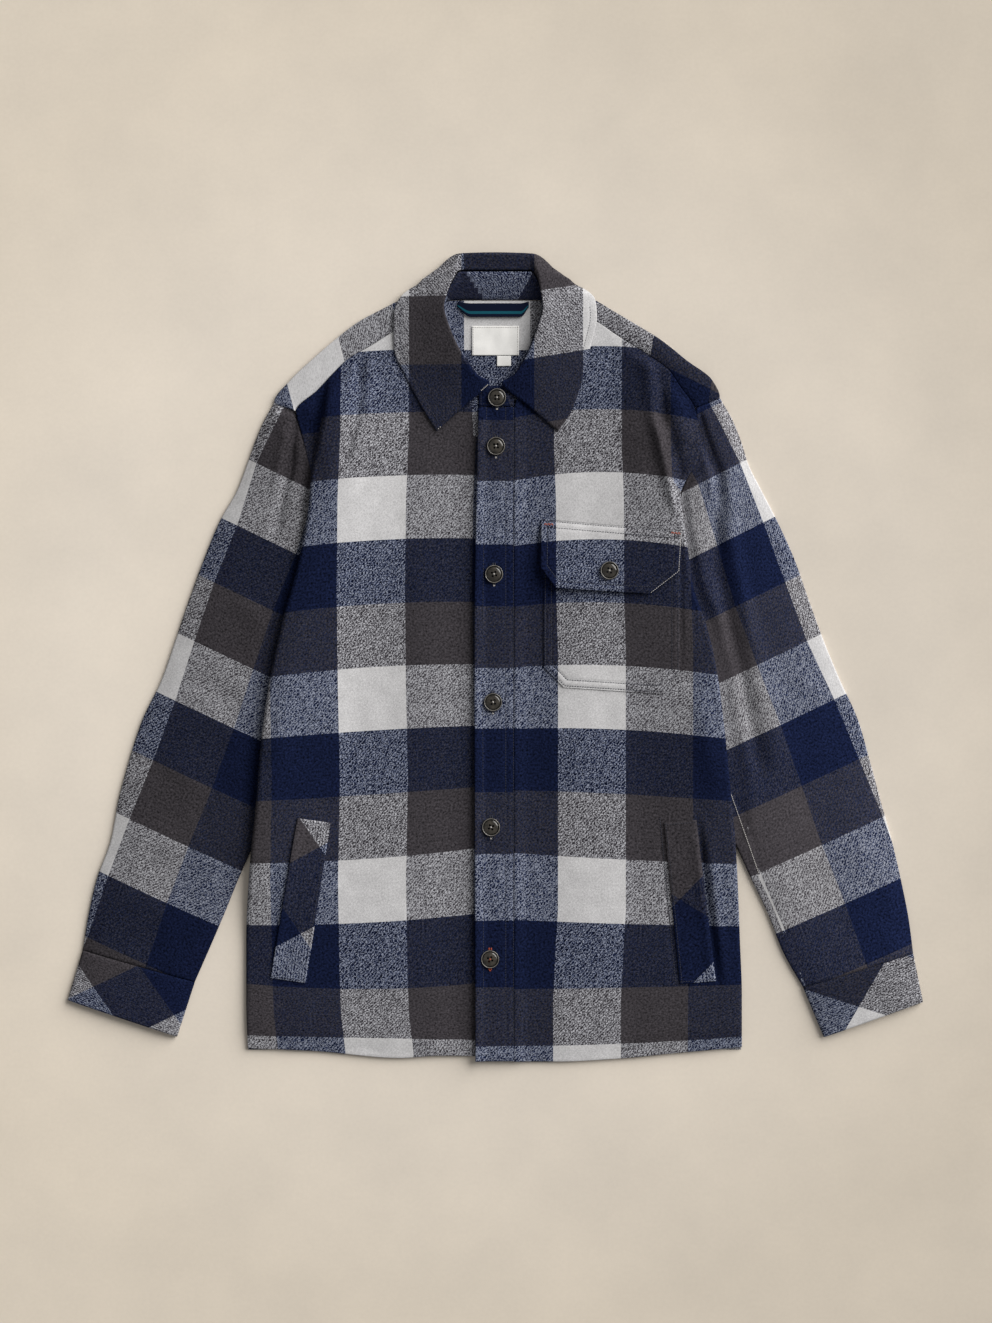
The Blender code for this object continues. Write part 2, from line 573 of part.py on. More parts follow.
def build_collar(parent):
    """Stand from the neckline to the leaf's seam, and the leaf over the crest to its outer edge."""
    sections = collar_sections()
    foot, top, crest, fold, edge = (sections[:, k] for k in range(5))
    share = np.linspace(0, 1, STAND_SAMPLES)[None, :, None]
    bow = np.sin(np.pi * share) * np.array((0, 0, STAND_BOW))
    stand = foot[:, None] * (1 - share) + top[:, None] * share + bow
    bent_piece("collar_stand", stand[STAND_SHORT:-STAND_SHORT], COLLAR_WALL, BIAS_CLOTH, parent)
    rise = crest - top
    step = (COLLAR_SEAM + COLLAR_WALL / 2) / np.linalg.norm(rise, axis=1, keepdims=True)
    start = top + rise * step
    at = np.linspace(0, 1, LEAF_SAMPLES)
    leaf = np.empty((len(sections), LEAF_SAMPLES, 3))
    for k, chain in enumerate(np.stack([start, crest, fold, edge], axis=1)):
        for axis in range(3):
            leaf[k, :, axis] = eased_curve(at, LEAF_KNOTS, chain[:, axis])
    bent_piece("collar_leaf", leaf, COLLAR_WALL, CHECK_CLOTH, parent)


def flap_underside(plan):
    """Height of the flap's lower face, which stands off the pocket towards its free corners."""
    x, y = plan[..., 0], plan[..., 1]
    down = np.clip((FLAP_LEFT.top_y - y) / (FLAP_LEFT.top_y - FLAP_LEFT.cut_y), 0, 1)
    across = np.clip((x - FLAP_LEFT.top_x) / (FLAP_RIGHT.top_x - FLAP_LEFT.top_x), 0, 1)
    lifted = FLAP_LIFT * down ** 2 * (1 - (1 - FLAP_LIFT_RIGHT) * across)
    return trim_bed(plan) + TRIM_WALL + STACK + lifted


def build_pockets(parent):
    """Chest pocket with its flap, and the two welts, laid on the fronts."""
    plan = grid(cut_side(POCKET_LEFT), cut_side(POCKET_RIGHT), POCKET_COLUMNS)
    laid_piece("chest_pocket", plan, trim_bed(plan), TRIM_WALL, CHECK_CLOTH, parent)
    plan = grid(cut_side(FLAP_LEFT), cut_side(FLAP_RIGHT), POCKET_COLUMNS)
    laid_piece("pocket_flap", plan, flap_underside(plan), TRIM_WALL, CHECK_CLOTH, parent)
    for name, welt in (("welt_left", WELT_LEFT), ("welt_right", WELT_RIGHT)):
        plan = quad_plan(welt, WELT_ROWS, WELT_COLUMNS)
        laid_piece(name, plan, trim_bed(plan), TRIM_WALL, BIAS_CLOTH, parent)


def build_neck_trim(parent):
    """Hanger loop, label and size tab inside the back of the neck."""
    left_end, right_end = np.array(LOOP_ENDS)
    left_run, right_run = np.array(LOOP_RUN)
    half = np.array((0, LOOP_WIDTH / 2))
    end_width = np.array((0, LOOP_END_WIDTH))
    upper = np.stack([left_end, left_run + half, right_run + half, right_end])
    lower = np.stack([left_end - end_width, left_run - half, right_run - half, right_end - end_width])
    plan = np.stack([lower, upper], axis=0)
    laid_piece("hanger_loop", plan, np.full(plan.shape[:2], UPPER), TAPE_WALL, TAPE, parent)
    for name, trim in (("neck_label", LABEL), ("size_tab", SIZE_TAB)):
        plan = quad_plan(trim, 2, 2)
        laid_piece(name, plan, np.full(plan.shape[:2], UPPER), LABEL_WALL, LABEL_CLOTH, parent)


def button_mesh():
    """Turned button with a rim, a dished face and four holes, its back at z = 0."""
    shaped = bmesh.new()
    ring = []
    for turn in BUTTON_SECTION:
        point = (turn.radius * BUTTON_RADIUS * MM, 0, turn.height * BUTTON_HEIGHT * MM)
        ring.append(shaped.verts.new(point))
    line = [shaped.edges.new(pair) for pair in zip(ring, ring[1:])]
    bmesh.ops.spin(shaped, geom=ring + line, cent=(0, 0, 0), axis=(0, 0, 1), angle=math.tau,
                   steps=BUTTON_SIDES, use_merge=True)
    bmesh.ops.remove_doubles(shaped, verts=shaped.verts, dist=MM * MM)
    bmesh.ops.recalc_face_normals(shaped, faces=shaped.faces)
    blank = bpy.data.meshes.new("button_blank")
    shaped.to_mesh(blank)
    shaped.free()
    drill = bmesh.new()
    for quarter in range(4):
        angle = math.tau * (quarter + 0.5) / 4
        spread = HOLE_SPREAD * MM
        place = Matrix.Translation((math.cos(angle) * spread, math.sin(angle) * spread, 0))
        bmesh.ops.create_cone(drill, cap_ends=True, segments=HOLE_SIDES, radius1=HOLE_RADIUS * MM,
                              radius2=HOLE_RADIUS * MM, depth=4 * BUTTON_HEIGHT * MM, matrix=place)
    cutter_mesh = bpy.data.meshes.new("button_holes")
    drill.to_mesh(cutter_mesh)
    drill.free()
    cutter = bpy.data.objects.new("button_holes", cutter_mesh)
    body = bpy.data.objects.new("button_blank", blank)
    for helper in (cutter, body):
        bpy.context.scene.collection.objects.link(helper)
        helper.hide_render = True
        helper.display_type = "WIRE"
    cut = body.modifiers.new("holes", "BOOLEAN")
    cut.operation = "DIFFERENCE"
    cut.solver = "EXACT"
    cut.object = cutter
    bpy.context.view_layer.update()
    mesh = bpy.data.meshes.new_from_object(body.evaluated_get(bpy.context.evaluated_depsgraph_get()))
    bpy.data.objects.remove(body)
    bpy.data.objects.remove(cutter)
    mesh.shade_smooth()
    mesh.set_sharp_from_angle(angle=SHARP_ANGLE)
    return mesh


def build_buttons(parent):
    """Buttons on the stand, the placket and the pocket flap."""
    mesh = button_mesh()
    seat = UPPER + PLACKET_STEP + WALL + STACK
    for place in BUTTONS:
        piece = add_object(place.name, mesh.copy(), HORN, parent)
        piece.location = (place.x * MM, place.y * MM, seat * MM)
    turn = np.linspace(0, math.tau, BUTTON_SIDES)
    under = np.stack([np.cos(turn), np.sin(turn)], axis=1)[None] * BUTTON_RADIUS
    footprint = under + (POCKET_BUTTON.x, POCKET_BUTTON.y)
    piece = add_object(POCKET_BUTTON.name, mesh, HORN, parent)
    seat = flap_underside(footprint).max() + TRIM_WALL + STACK
    piece.location = (POCKET_BUTTON.x * MM, POCKET_BUTTON.y * MM, seat * MM)


def main():
    """Build every piece under one empty on the floor."""
    for item in list(bpy.data.objects):
        bpy.data.objects.remove(item)
    jacket = bpy.data.objects.new("jacket", None)
    bpy.context.scene.collection.objects.link(jacket)
    build_back(jacket)
    build_yoke(jacket)
    build_fronts(jacket)
    build_sleeves(jacket)
    build_placket(jacket)
    build_collar(jacket)
    build_pockets(jacket)
    build_neck_trim(jacket)
    build_buttons(jacket)


main()
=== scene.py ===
"""Looks of a checked shirt-jacket laid flat: cloth shells, stitching, buttons, light and camera.

All tables are in millimetres in the frame of the solids: x to the viewer's right, y from hem to
collar, z up from the floor. Left and right are the viewer's.
"""
import logging
import math
from dataclasses import dataclass, replace
from enum import Enum
from typing import Callable, NamedTuple, Sequence

import bmesh
import bpy
import numpy as np
from mathutils import Matrix, Vector
from mathutils.bvhtree import BVHTree


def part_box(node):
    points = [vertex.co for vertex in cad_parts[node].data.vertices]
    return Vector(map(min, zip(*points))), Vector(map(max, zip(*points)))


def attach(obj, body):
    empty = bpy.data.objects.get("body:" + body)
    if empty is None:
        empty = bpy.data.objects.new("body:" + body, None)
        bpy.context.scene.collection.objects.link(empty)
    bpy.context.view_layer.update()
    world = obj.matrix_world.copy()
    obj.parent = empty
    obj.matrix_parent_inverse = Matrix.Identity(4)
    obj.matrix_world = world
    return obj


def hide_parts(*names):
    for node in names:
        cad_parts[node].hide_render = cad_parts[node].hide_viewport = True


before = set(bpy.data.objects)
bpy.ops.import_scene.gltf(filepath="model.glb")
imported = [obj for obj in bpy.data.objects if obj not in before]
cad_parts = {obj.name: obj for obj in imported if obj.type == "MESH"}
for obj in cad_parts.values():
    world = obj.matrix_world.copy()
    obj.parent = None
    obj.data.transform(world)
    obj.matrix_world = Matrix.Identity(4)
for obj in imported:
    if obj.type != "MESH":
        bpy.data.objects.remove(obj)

log = logging.getLogger("jacket")
Array = np.ndarray
Point = tuple[float, float]
Triple = tuple[float, float, float]
Colour = tuple[float, float, float]
Pairs = Sequence[Point]
Piece = bpy.types.Object
Socket = bpy.types.NodeSocket
MM = 0.001

# Wall of the body's cloth, room between two layers, and the floors of the second and third layer.
WALL = 2.0
STACK = 0.4
UPPER = WALL + STACK
PLACKET_BED = UPPER + WALL + STACK

# Lines of a rounded rim as shares of its width, and share of a crease's length over which each end fades.
RIM_LINES = (0.0, 0.12, 0.4, 1.0)
CREASE_FADE = 0.36


class Hand(Enum):
    """Side of the garment, as the sign of its x."""

    LEFT = -1
    RIGHT = 1


class Slot(Enum):
    """Material slot of a piece; bias cloth is the check turned across its threads."""

    CHECK = "check_cloth"
    BIAS = "bias_cloth"
    TAPE = "tape"
    LABEL = "label"
    HORN = "horn"


class Held(Enum):
    """How a sheet of cloth keeps its form."""

    LAID = "laid"
    FOLDED = "folded"
    HUNG = "hung"


class Thread(Enum):
    """Sewing thread, as a linear colour."""

    NAVY = (0.030, 0.033, 0.050)
    RUST = (0.42, 0.075, 0.022)
    PALE = (0.52, 0.50, 0.48)


class Edge(NamedTuple):
    """Place of an edge at one height."""

    y: float
    x: float


class Gauge(NamedTuple):
    """Distance from stitch to stitch and radius of the thread."""

    pitch: float
    radius: float


class Section(NamedTuple):
    """Two edges of a flattened tube."""

    outer_x: float
    outer_y: float
    inner_x: float
    inner_y: float


class Crease(NamedTuple):
    """Soft ridge, or trough where rise is negative, that fades towards both ends."""

    x0: float
    y0: float
    x1: float
    y1: float
    rise: float
    width: float
    bow: float = 0.0


class CollarRow(NamedTuple):
    """Left half of the collar at one place, and how the right half differs."""

    foot: Triple
    top: Triple
    crest: Triple
    fold: Triple
    edge: Triple
    neck_ratio: float
    edge_ratio: float


class CutSide(NamedTuple):
    """Side of a pocket piece that is cut off at its lower corner."""

    top: Point
    side: Point
    cut: Point


class RowShift(NamedTuple):
    """How the check's rows run across a front at one height: start + linear t + square t t."""

    y: float
    start: float
    linear: float
    square: float


class Ripple(NamedTuple):
    """Smooth unevenness of a face of cloth."""

    height: float
    period: float
    seed: int


class Fade(NamedTuple):
    """Place where something begins, and the width over which it comes in."""

    start: float
    width: float

    def rising(self, value: Array) -> Array:
        """Ease from 0 to 1 as value grows past the start."""
        return smoothstep((value - self.start) / self.width)

    def falling(self, value: Array) -> Array:
        """Ease from 0 to 1 as value drops past the start."""
        return smoothstep((self.start - value) / self.width)


def smoothstep(value: Array) -> Array:
    """Ease from 0 to 1 as value does, flat beyond both ends."""
    held = np.clip(value, 0.0, 1.0)
    return held * held * (3.0 - 2.0 * held)


def bell(value: Array, width: float) -> Array:
    """Round hump, 1 at zero and nearly gone at twice the width."""
    return np.exp(-((value / width) ** 2))


def eased_curve(at: Array, knots: Sequence[float], values: Sequence[float]) -> Array:
    """Monotone cubic through knots, so that an outline bulges nowhere between its rows.

    Args:
        at: places to read.
        knots: places of the values, rising or falling.
        values: values at the knots.

    Returns:
        The curve's values, held beyond both ends.
    """
    order = np.argsort(knots)
    place, level = np.asarray(knots, float)[order], np.asarray(values, float)[order]
    span = np.diff(place)
    rise = np.diff(level) / span
    before, after = 2 * span[1:] + span[:-1], span[1:] + 2 * span[:-1]
    same_way = rise[:-1] * rise[1:] > 0
    first, second = (np.where(same_way, part, 1.0) for part in (rise[:-1], rise[1:]))
    mean = np.where(same_way, (before + after) / (before / first + after / second), 0.0)
    slope = np.concatenate([rise[:1], mean, rise[-1:]])
    held = np.clip(np.asarray(at, float), place[0], place[-1])
    index = np.clip(np.searchsorted(place, held) - 1, 0, len(span) - 1)
    step = span[index]
    t = (held - place[index]) / step
    return (
        (1 + 2 * t) * (1 - t) ** 2 * level[index]
        + t * (1 - t) ** 2 * step * slope[index]
        + t * t * (3 - 2 * t) * level[index + 1]
        - t * t * (1 - t) * step * slope[index + 1]
    )


def table_at(at: Array, table: Pairs) -> Array:
    """Straight-line value of a table of (place, value) rows.

    Args:
        at: places to read.
        table: rows in any order.

    Returns:
        The values, held beyond both ends.
    """
    rows = sorted(table)
    return np.interp(at, [row[0] for row in rows], [row[1] for row in rows])


def edge_at(table: Sequence[Edge], y: Array) -> Array:
    """Smooth x of an edge table at each y."""
    return eased_curve(y, [row.y for row in table], [row.x for row in table])


def drift(x: Array, y: Array, period: float, seed: int) -> Array:
    """Smooth uneven field between -1 and 1, the same at every run.

    Args:
        x: places across.
        y: places along.
        period: distance over which the field changes.
        seed: picks one field.

    Returns:
        The field at each place.
    """
    cells = 64
    lattice = np.random.default_rng(seed).uniform(-1, 1, (cells, cells))
    across, along = np.asarray(x) / period + 31.3, np.asarray(y) / period + 31.7
    column, row = np.floor(across).astype(int), np.floor(along).astype(int)
    s, t = smoothstep(across - column), smoothstep(along - row)
    left, right, low, high = column % cells, (column + 1) % cells, row % cells, (row + 1) % cells
    near = lattice[low, left] * (1 - s) + lattice[low, right] * s
    far = lattice[high, left] * (1 - s) + lattice[high, right] * s
    return near * (1 - t) + far * t


def rippled(x: Array, y: Array, ripples: Sequence[Ripple]) -> Array:
    """Sum of the ripples at each place."""
    return sum(one.height * drift(x, y, one.period, one.seed) for one in ripples)


def relief(x: Array, y: Array, creases: Sequence[Crease]) -> Array:
    """Sum of soft ridges and troughs.

    Args:
        x: places across.
        y: places along.
        creases: the folds of one panel.

    Returns:
        Height to add at each place.
    """
    total = np.zeros(np.broadcast(x, y).shape)
    for fold in creases:
        run_x, run_y = fold.x1 - fold.x0, fold.y1 - fold.y0
        length = math.hypot(run_x, run_y)
        share = ((x - fold.x0) * run_x + (y - fold.y0) * run_y) / length**2
        across = ((x - fold.x0) * run_y - (y - fold.y0) * run_x) / length
        across = across - fold.bow * 4 * share * (1 - share)
        inside = smoothstep(share / CREASE_FADE + 0.5) * smoothstep((1 - share) / CREASE_FADE + 0.5)
        total = total + fold.rise * inside * bell(across, fold.width)
    return total


def line_distance(x: Array, y: Array, line: Pairs) -> Array:
    """Distance of each place from a run of straight pieces.

    Args:
        x: places across.
        y: places along.
        line: corners of the run.

    Returns:
        Shortest distance at each place.
    """
    best = np.full(np.broadcast(x, y).shape, 1e9)
    for (x0, y0), (x1, y1) in zip(line, line[1:]):
        run_x, run_y = x1 - x0, y1 - y0
        share = np.clip(((x - x0) * run_x + (y - y0) * run_y) / (run_x**2 + run_y**2), 0, 1)
        best = np.minimum(best, np.hypot(x - x0 - share * run_x, y - y0 - share * run_y))
    return best


def inset(line: Pairs, distance: float) -> list[Point]:
    """Run of straight pieces moved to its left by a distance.

    Args:
        line: corners of the run.
        distance: how far to move it, to the right where negative.

    Returns:
        Corners of the moved run.
    """
    points = np.asarray(line, float)
    way = np.diff(points, axis=0)
    way /= np.linalg.norm(way, axis=1, keepdims=True)
    normal = np.stack([-way[:, 1], way[:, 0]], axis=1)
    moved = [points[0] + normal[0] * distance]
    for before, after, corner in zip(normal, normal[1:], points[1:]):
        mean = before + after
        moved.append(corner + mean * distance * 2 / max(float(mean @ mean), 0.5))
    moved.append(points[-1] + normal[-1] * distance)
    return [(float(p[0]), float(p[1])) for p in moved]


def spaced(length: float, step: float, rim: float) -> Array:
    """Shares of a length, evenly spread, with closer lines at both rims for a rounded edge.

    Args:
        length: whole length.
        step: distance between the even lines.
        rim: width of each rim.

    Returns:
        Shares from 0 to 1.
    """
    rims = np.array(RIM_LINES) * rim
    count = max(int((length - 2 * rim) / step), 1)
    inner = np.linspace(rim, length - rim, count + 1)
    return np.concatenate([rims[:-1], inner, length - rims[-2::-1]]) / length


def between_edges(left: Array, right: Array, shares: Array) -> Array:
    """Rows of points between two edges, at the given shares of the way."""
    part = np.asarray(shares)[None, :, None]
    return left[:, None, :] * (1 - part) + right[:, None, :] * part


def corner_rows(trim: Pairs, step: float, rim: float) -> Array:
    """Fine plan of a four-cornered piece.

    Args:
        trim: corners, from top left round by the right.
        step: distance between the grid's lines.
        rim: width of the rounded edge.

    Returns:
        Grid of (x, y).
    """
    top_left, top_right, low_right, low_left = (np.array(point) for point in trim)
    down = spaced(float(np.linalg.norm(top_left - low_left)), step, rim)[:, None]
    left = top_left * (1 - down) + low_left * down
    right = top_right * (1 - down) + low_right * down
    return between_edges(left, right, spaced(float(np.linalg.norm(top_left - top_right)), step, rim))


def rim_distance(plan: Array) -> Array:
    """Distance from the nearest of a grid's four sides, along the grid.

    Args:
        plan: grid of points.

    Returns:
        Distance at each point.
    """
    across = np.linalg.norm(np.diff(plan, axis=1), axis=2)
    along = np.linalg.norm(np.diff(plan, axis=0), axis=2)
    from_left = np.pad(np.cumsum(across, axis=1), ((0, 0), (1, 0)))
    from_top = np.pad(np.cumsum(along, axis=0), ((1, 0), (0, 0)))
    sides = [from_left, from_left[:, -1:] - from_left, from_top, from_top[-1:] - from_top]
    return np.min(sides, axis=0)


ClothMap = Callable[[Array, Array], Array]


@dataclass
class ClothSheet:
    """Closed thin shell of cloth between an upper and a lower grid of points."""

    name: str
    upper: Array
    lower: Array
    cloth: ClothMap
    ring: bool = False
    size_margin: float = 1.001

    def faces(self) -> Array:
        """Join both grids and their rims.

        Returns:
            Quads as corner indices.
        """
        rows, columns = self.upper.shape[:2]
        count = rows * columns
        index = np.arange(count).reshape(rows, columns)
        if self.ring:
            index = np.concatenate([index, index[:, :1]], axis=1)
            rims = [index[0], index[-1][::-1]]
        else:
            sides = [index[0, :-1], index[:-1, -1], index[-1, :0:-1], index[:0:-1, 0], index[:1, 0]]
            rims = [np.concatenate(sides)]
        quads = np.stack([index[:-1, :-1], index[1:, :-1], index[1:, 1:], index[:-1, 1:]], axis=-1).reshape(-1, 4)
        walls = [np.stack([rim[:-1], rim[1:], rim[1:] + count, rim[:-1] + count], axis=1) for rim in rims]
        return np.concatenate([quads, quads[:, ::-1] + count, *walls])

    def build(
        self, finish: "Finish", slot: Slot, nodes: Sequence[str],
        rests_on: Sequence[str] = (), held: Held = Held.LAID,
    ) -> Piece:
        """Make the mesh, lay it on the cloth and let it stand for its solids.

        Args:
            finish: the cloth.
            slot: its material slot; passed on but not used.
            nodes: solids that it replaces.
            rests_on: solids that it lies on, besides the floor; not used.
            held: how it keeps its form; not used.

        Returns:
            The new object.
        """
        quads = self.faces()
        points = np.concatenate([self.upper.reshape(-1, 3), self.lower.reshape(-1, 3)])
        corners = points[quads]
        first = np.cross(corners[:, 1] - corners[:, 0], corners[:, 2] - corners[:, 0])
        second = np.cross(corners[:, 2] - corners[:, 0], corners[:, 3] - corners[:, 0])
        if ((first + second) * corners.mean(axis=1)).sum() < 0:
            quads, corners = quads[:, ::-1], corners[:, ::-1]
        centres = np.broadcast_to(corners.mean(axis=1, keepdims=True), corners.shape)
        on_cloth = self.cloth(corners, centres) * MM
        mesh = bpy.data.meshes.new(self.name)
        mesh.from_pydata((points * MM).tolist(), [], quads.tolist())
        layer = mesh.uv_layers.new(name="cloth")
        layer.data.foreach_set("uv", on_cloth.reshape(-1).astype(np.float32))
        mesh.shade_smooth()
        piece = place_piece(self.name, mesh, finish.material(), slot)
        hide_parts(*nodes)
        return piece

    def middle(self) -> Array:
        """Grid half way between both faces in metres, closed where it is a ring."""
        grid = (self.upper + self.lower) / 2 * MM
        return np.concatenate([grid, grid[:, :1]], axis=1) if self.ring else grid


def place_piece(name: str, mesh: bpy.types.Mesh, material: bpy.types.Material | None, slot: Slot) -> Piece:
    """Link a mesh as a piece that rides on the garment.

    Args:
        name: piece name.
        mesh: its mesh.
        material: its finish, unless the mesh has its own.
        slot: its material slot; not used.

    Returns:
        The new object.
    """
    piece = bpy.data.objects.new(name, mesh)
    if material:
        mesh.materials.append(material)
    bpy.context.scene.collection.objects.link(piece)
    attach(piece, "root")
    log.info("%s: %d faces", name, len(mesh.polygons))
    return piece


def shell_points(plan: Array, low: Array, wall: float, rim: float) -> tuple[Array, Array]:
    """Upper and lower points of a laid piece whose edge is rounded.

    Args:
        plan: grid of (x, y).
        low: height of its lower face.
        wall: its thickness.
        rim: width over which the edge is rounded.

    Returns:
        Upper and lower grids of (x, y, z).
    """
    near = np.clip(1 - rim_distance(plan) / rim, 0, 1)
    drop = wall / 2 * (1 - np.sqrt(np.clip(1 - near**2, 0, 1)))
    upper = np.concatenate([plan, (low + wall - drop)[..., None]], axis=2)
    lower = np.concatenate([plan, (low + drop)[..., None]], axis=2)
    return upper, lower


def press_lines(upper: Array, lines: Sequence[Pairs], depth: float, width: float) -> None:
    """Sink an upper face along rows of stitches, as deep and half as wide as given."""
    for line in lines:
        upper[..., 2] -= depth * bell(line_distance(upper[..., 0], upper[..., 1], line), width)


class Graph:
    """Short hand for the nodes of one material."""

    def __init__(self, name: str) -> None:
        """Start a material with an empty surface shader.

        Args:
            name: name of the material.
        """
        self.material = bpy.data.materials.new(name)
        self.material.use_nodes = True
        self.nodes = self.material.node_tree.nodes
        self.links = self.material.node_tree.links
        self.shader = self.nodes["Principled BSDF"]

    def value(self, socket: Socket, source: object) -> None:
        """Fill one input.

        Args:
            socket: the input.
            source: a number or colour to set, or an output to link.
        """
        if isinstance(source, Socket):
            self.links.new(source, socket)
        else:
            socket.default_value = source

    def node(self, kind: str, sources: dict[int | str, object], **settings: object) -> bpy.types.Node:
        """Add a node.

        Args:
            kind: its type.
            sources: what fills its inputs, by their place or name.
            settings: its attributes.

        Returns:
            The node.
        """
        node = self.nodes.new(kind)
        for name, setting in settings.items():
            setattr(node, name, setting)
        for key, source in sources.items():
            self.value(node.inputs[key], source)
        return node

    def object_place(self) -> Socket:
        """Place in the piece's own space."""
        return self.node("ShaderNodeTexCoord", {}).outputs["Object"]

    def cloth_place(self) -> tuple[Socket, Socket, Socket]:
        """Place on the cloth, whole and as its two parts."""
        place = self.node("ShaderNodeUVMap", {}, uv_map="cloth").outputs[0]
        return place, *self.node("ShaderNodeSeparateXYZ", {0: place}).outputs[:2]

    def math(self, operation: str, *sources: object) -> Socket:
        """Result of a math node on one to three sources."""
        return self.node("ShaderNodeMath", dict(enumerate(sources)), operation=operation).outputs[0]

    def measure(self, operation: str, *vectors: object) -> Socket:
        """Number that a vector math node gives."""
        return self.node("ShaderNodeVectorMath", dict(enumerate(vectors)), operation=operation).outputs["Value"]

    def mix(self, share: object, first: object, second: object, blend: str = "MIX") -> Socket:
        """Mix of two colours, by a share of the second."""
        colours = {0: share, 6: first, 7: second}
        return self.node("ShaderNodeMix", colours, data_type="RGBA", blend_type=blend).outputs[2]

    def noise(self, vector: object, scale: float, detail: float, rough: float = 0.5) -> Socket:
        """Noise value about a half."""
        sources = {"Vector": vector, "Scale": scale, "Detail": detail, "Roughness": rough}
        return self.node("ShaderNodeTexNoise", sources).outputs["Fac"]

    def ramp(self, source: object, stops: Sequence[tuple[float, Colour]], kind: str) -> Socket:
        """Colour ramp.

        Args:
            source: value that it reads.
            stops: places and colours.
            kind: how it goes from stop to stop.

        Returns:
            The colour.
        """
        node = self.node("ShaderNodeValToRGB", {0: source})
        node.color_ramp.interpolation = kind
        elements = node.color_ramp.elements
        while len(elements) < len(stops):
            elements.new(1.0)
        for element, (place, colour) in zip(elements, stops):
            element.position = place
            element.color = (*colour, 1.0)
        return node.outputs[0]

    def range(self, source: object, low: float, high: float, to_low: float, to_high: float) -> Socket:
        """Value moved from one range to another."""
        return self.node("ShaderNodeMapRange", dict(enumerate((source, low, high, to_low, to_high)))).outputs[0]

    def bump(self, height: object, strength: float, distance: float) -> None:
        """Bump the surface by a height, to a depth in metres."""
        sources = {"Strength": strength, "Distance": distance, "Height": height}
        self.set(Normal=self.node("ShaderNodeBump", sources).outputs[0])

    def set(self, **sockets: object) -> None:
        """Set sockets of the surface shader, named with underscores for spaces."""
        for name, source in sockets.items():
            self.value(self.shader.inputs[name.replace("_", " ")], source)


class Finish:
    """Finish whose material is made once, under the finish's name."""

    name: str

    def material(self) -> bpy.types.Material:
        """Find or make the material.

        Returns:
            The material.
        """
        made = bpy.data.materials.get(self.name)
        if made is None:
            graph = Graph(self.name)
            self.wire(graph)
            made = graph.material
        return made

    def wire(self, graph: Graph) -> None:
        """Lay the finish's nodes.

        Args:
            graph: material to add to.
        """
        raise NotImplementedError


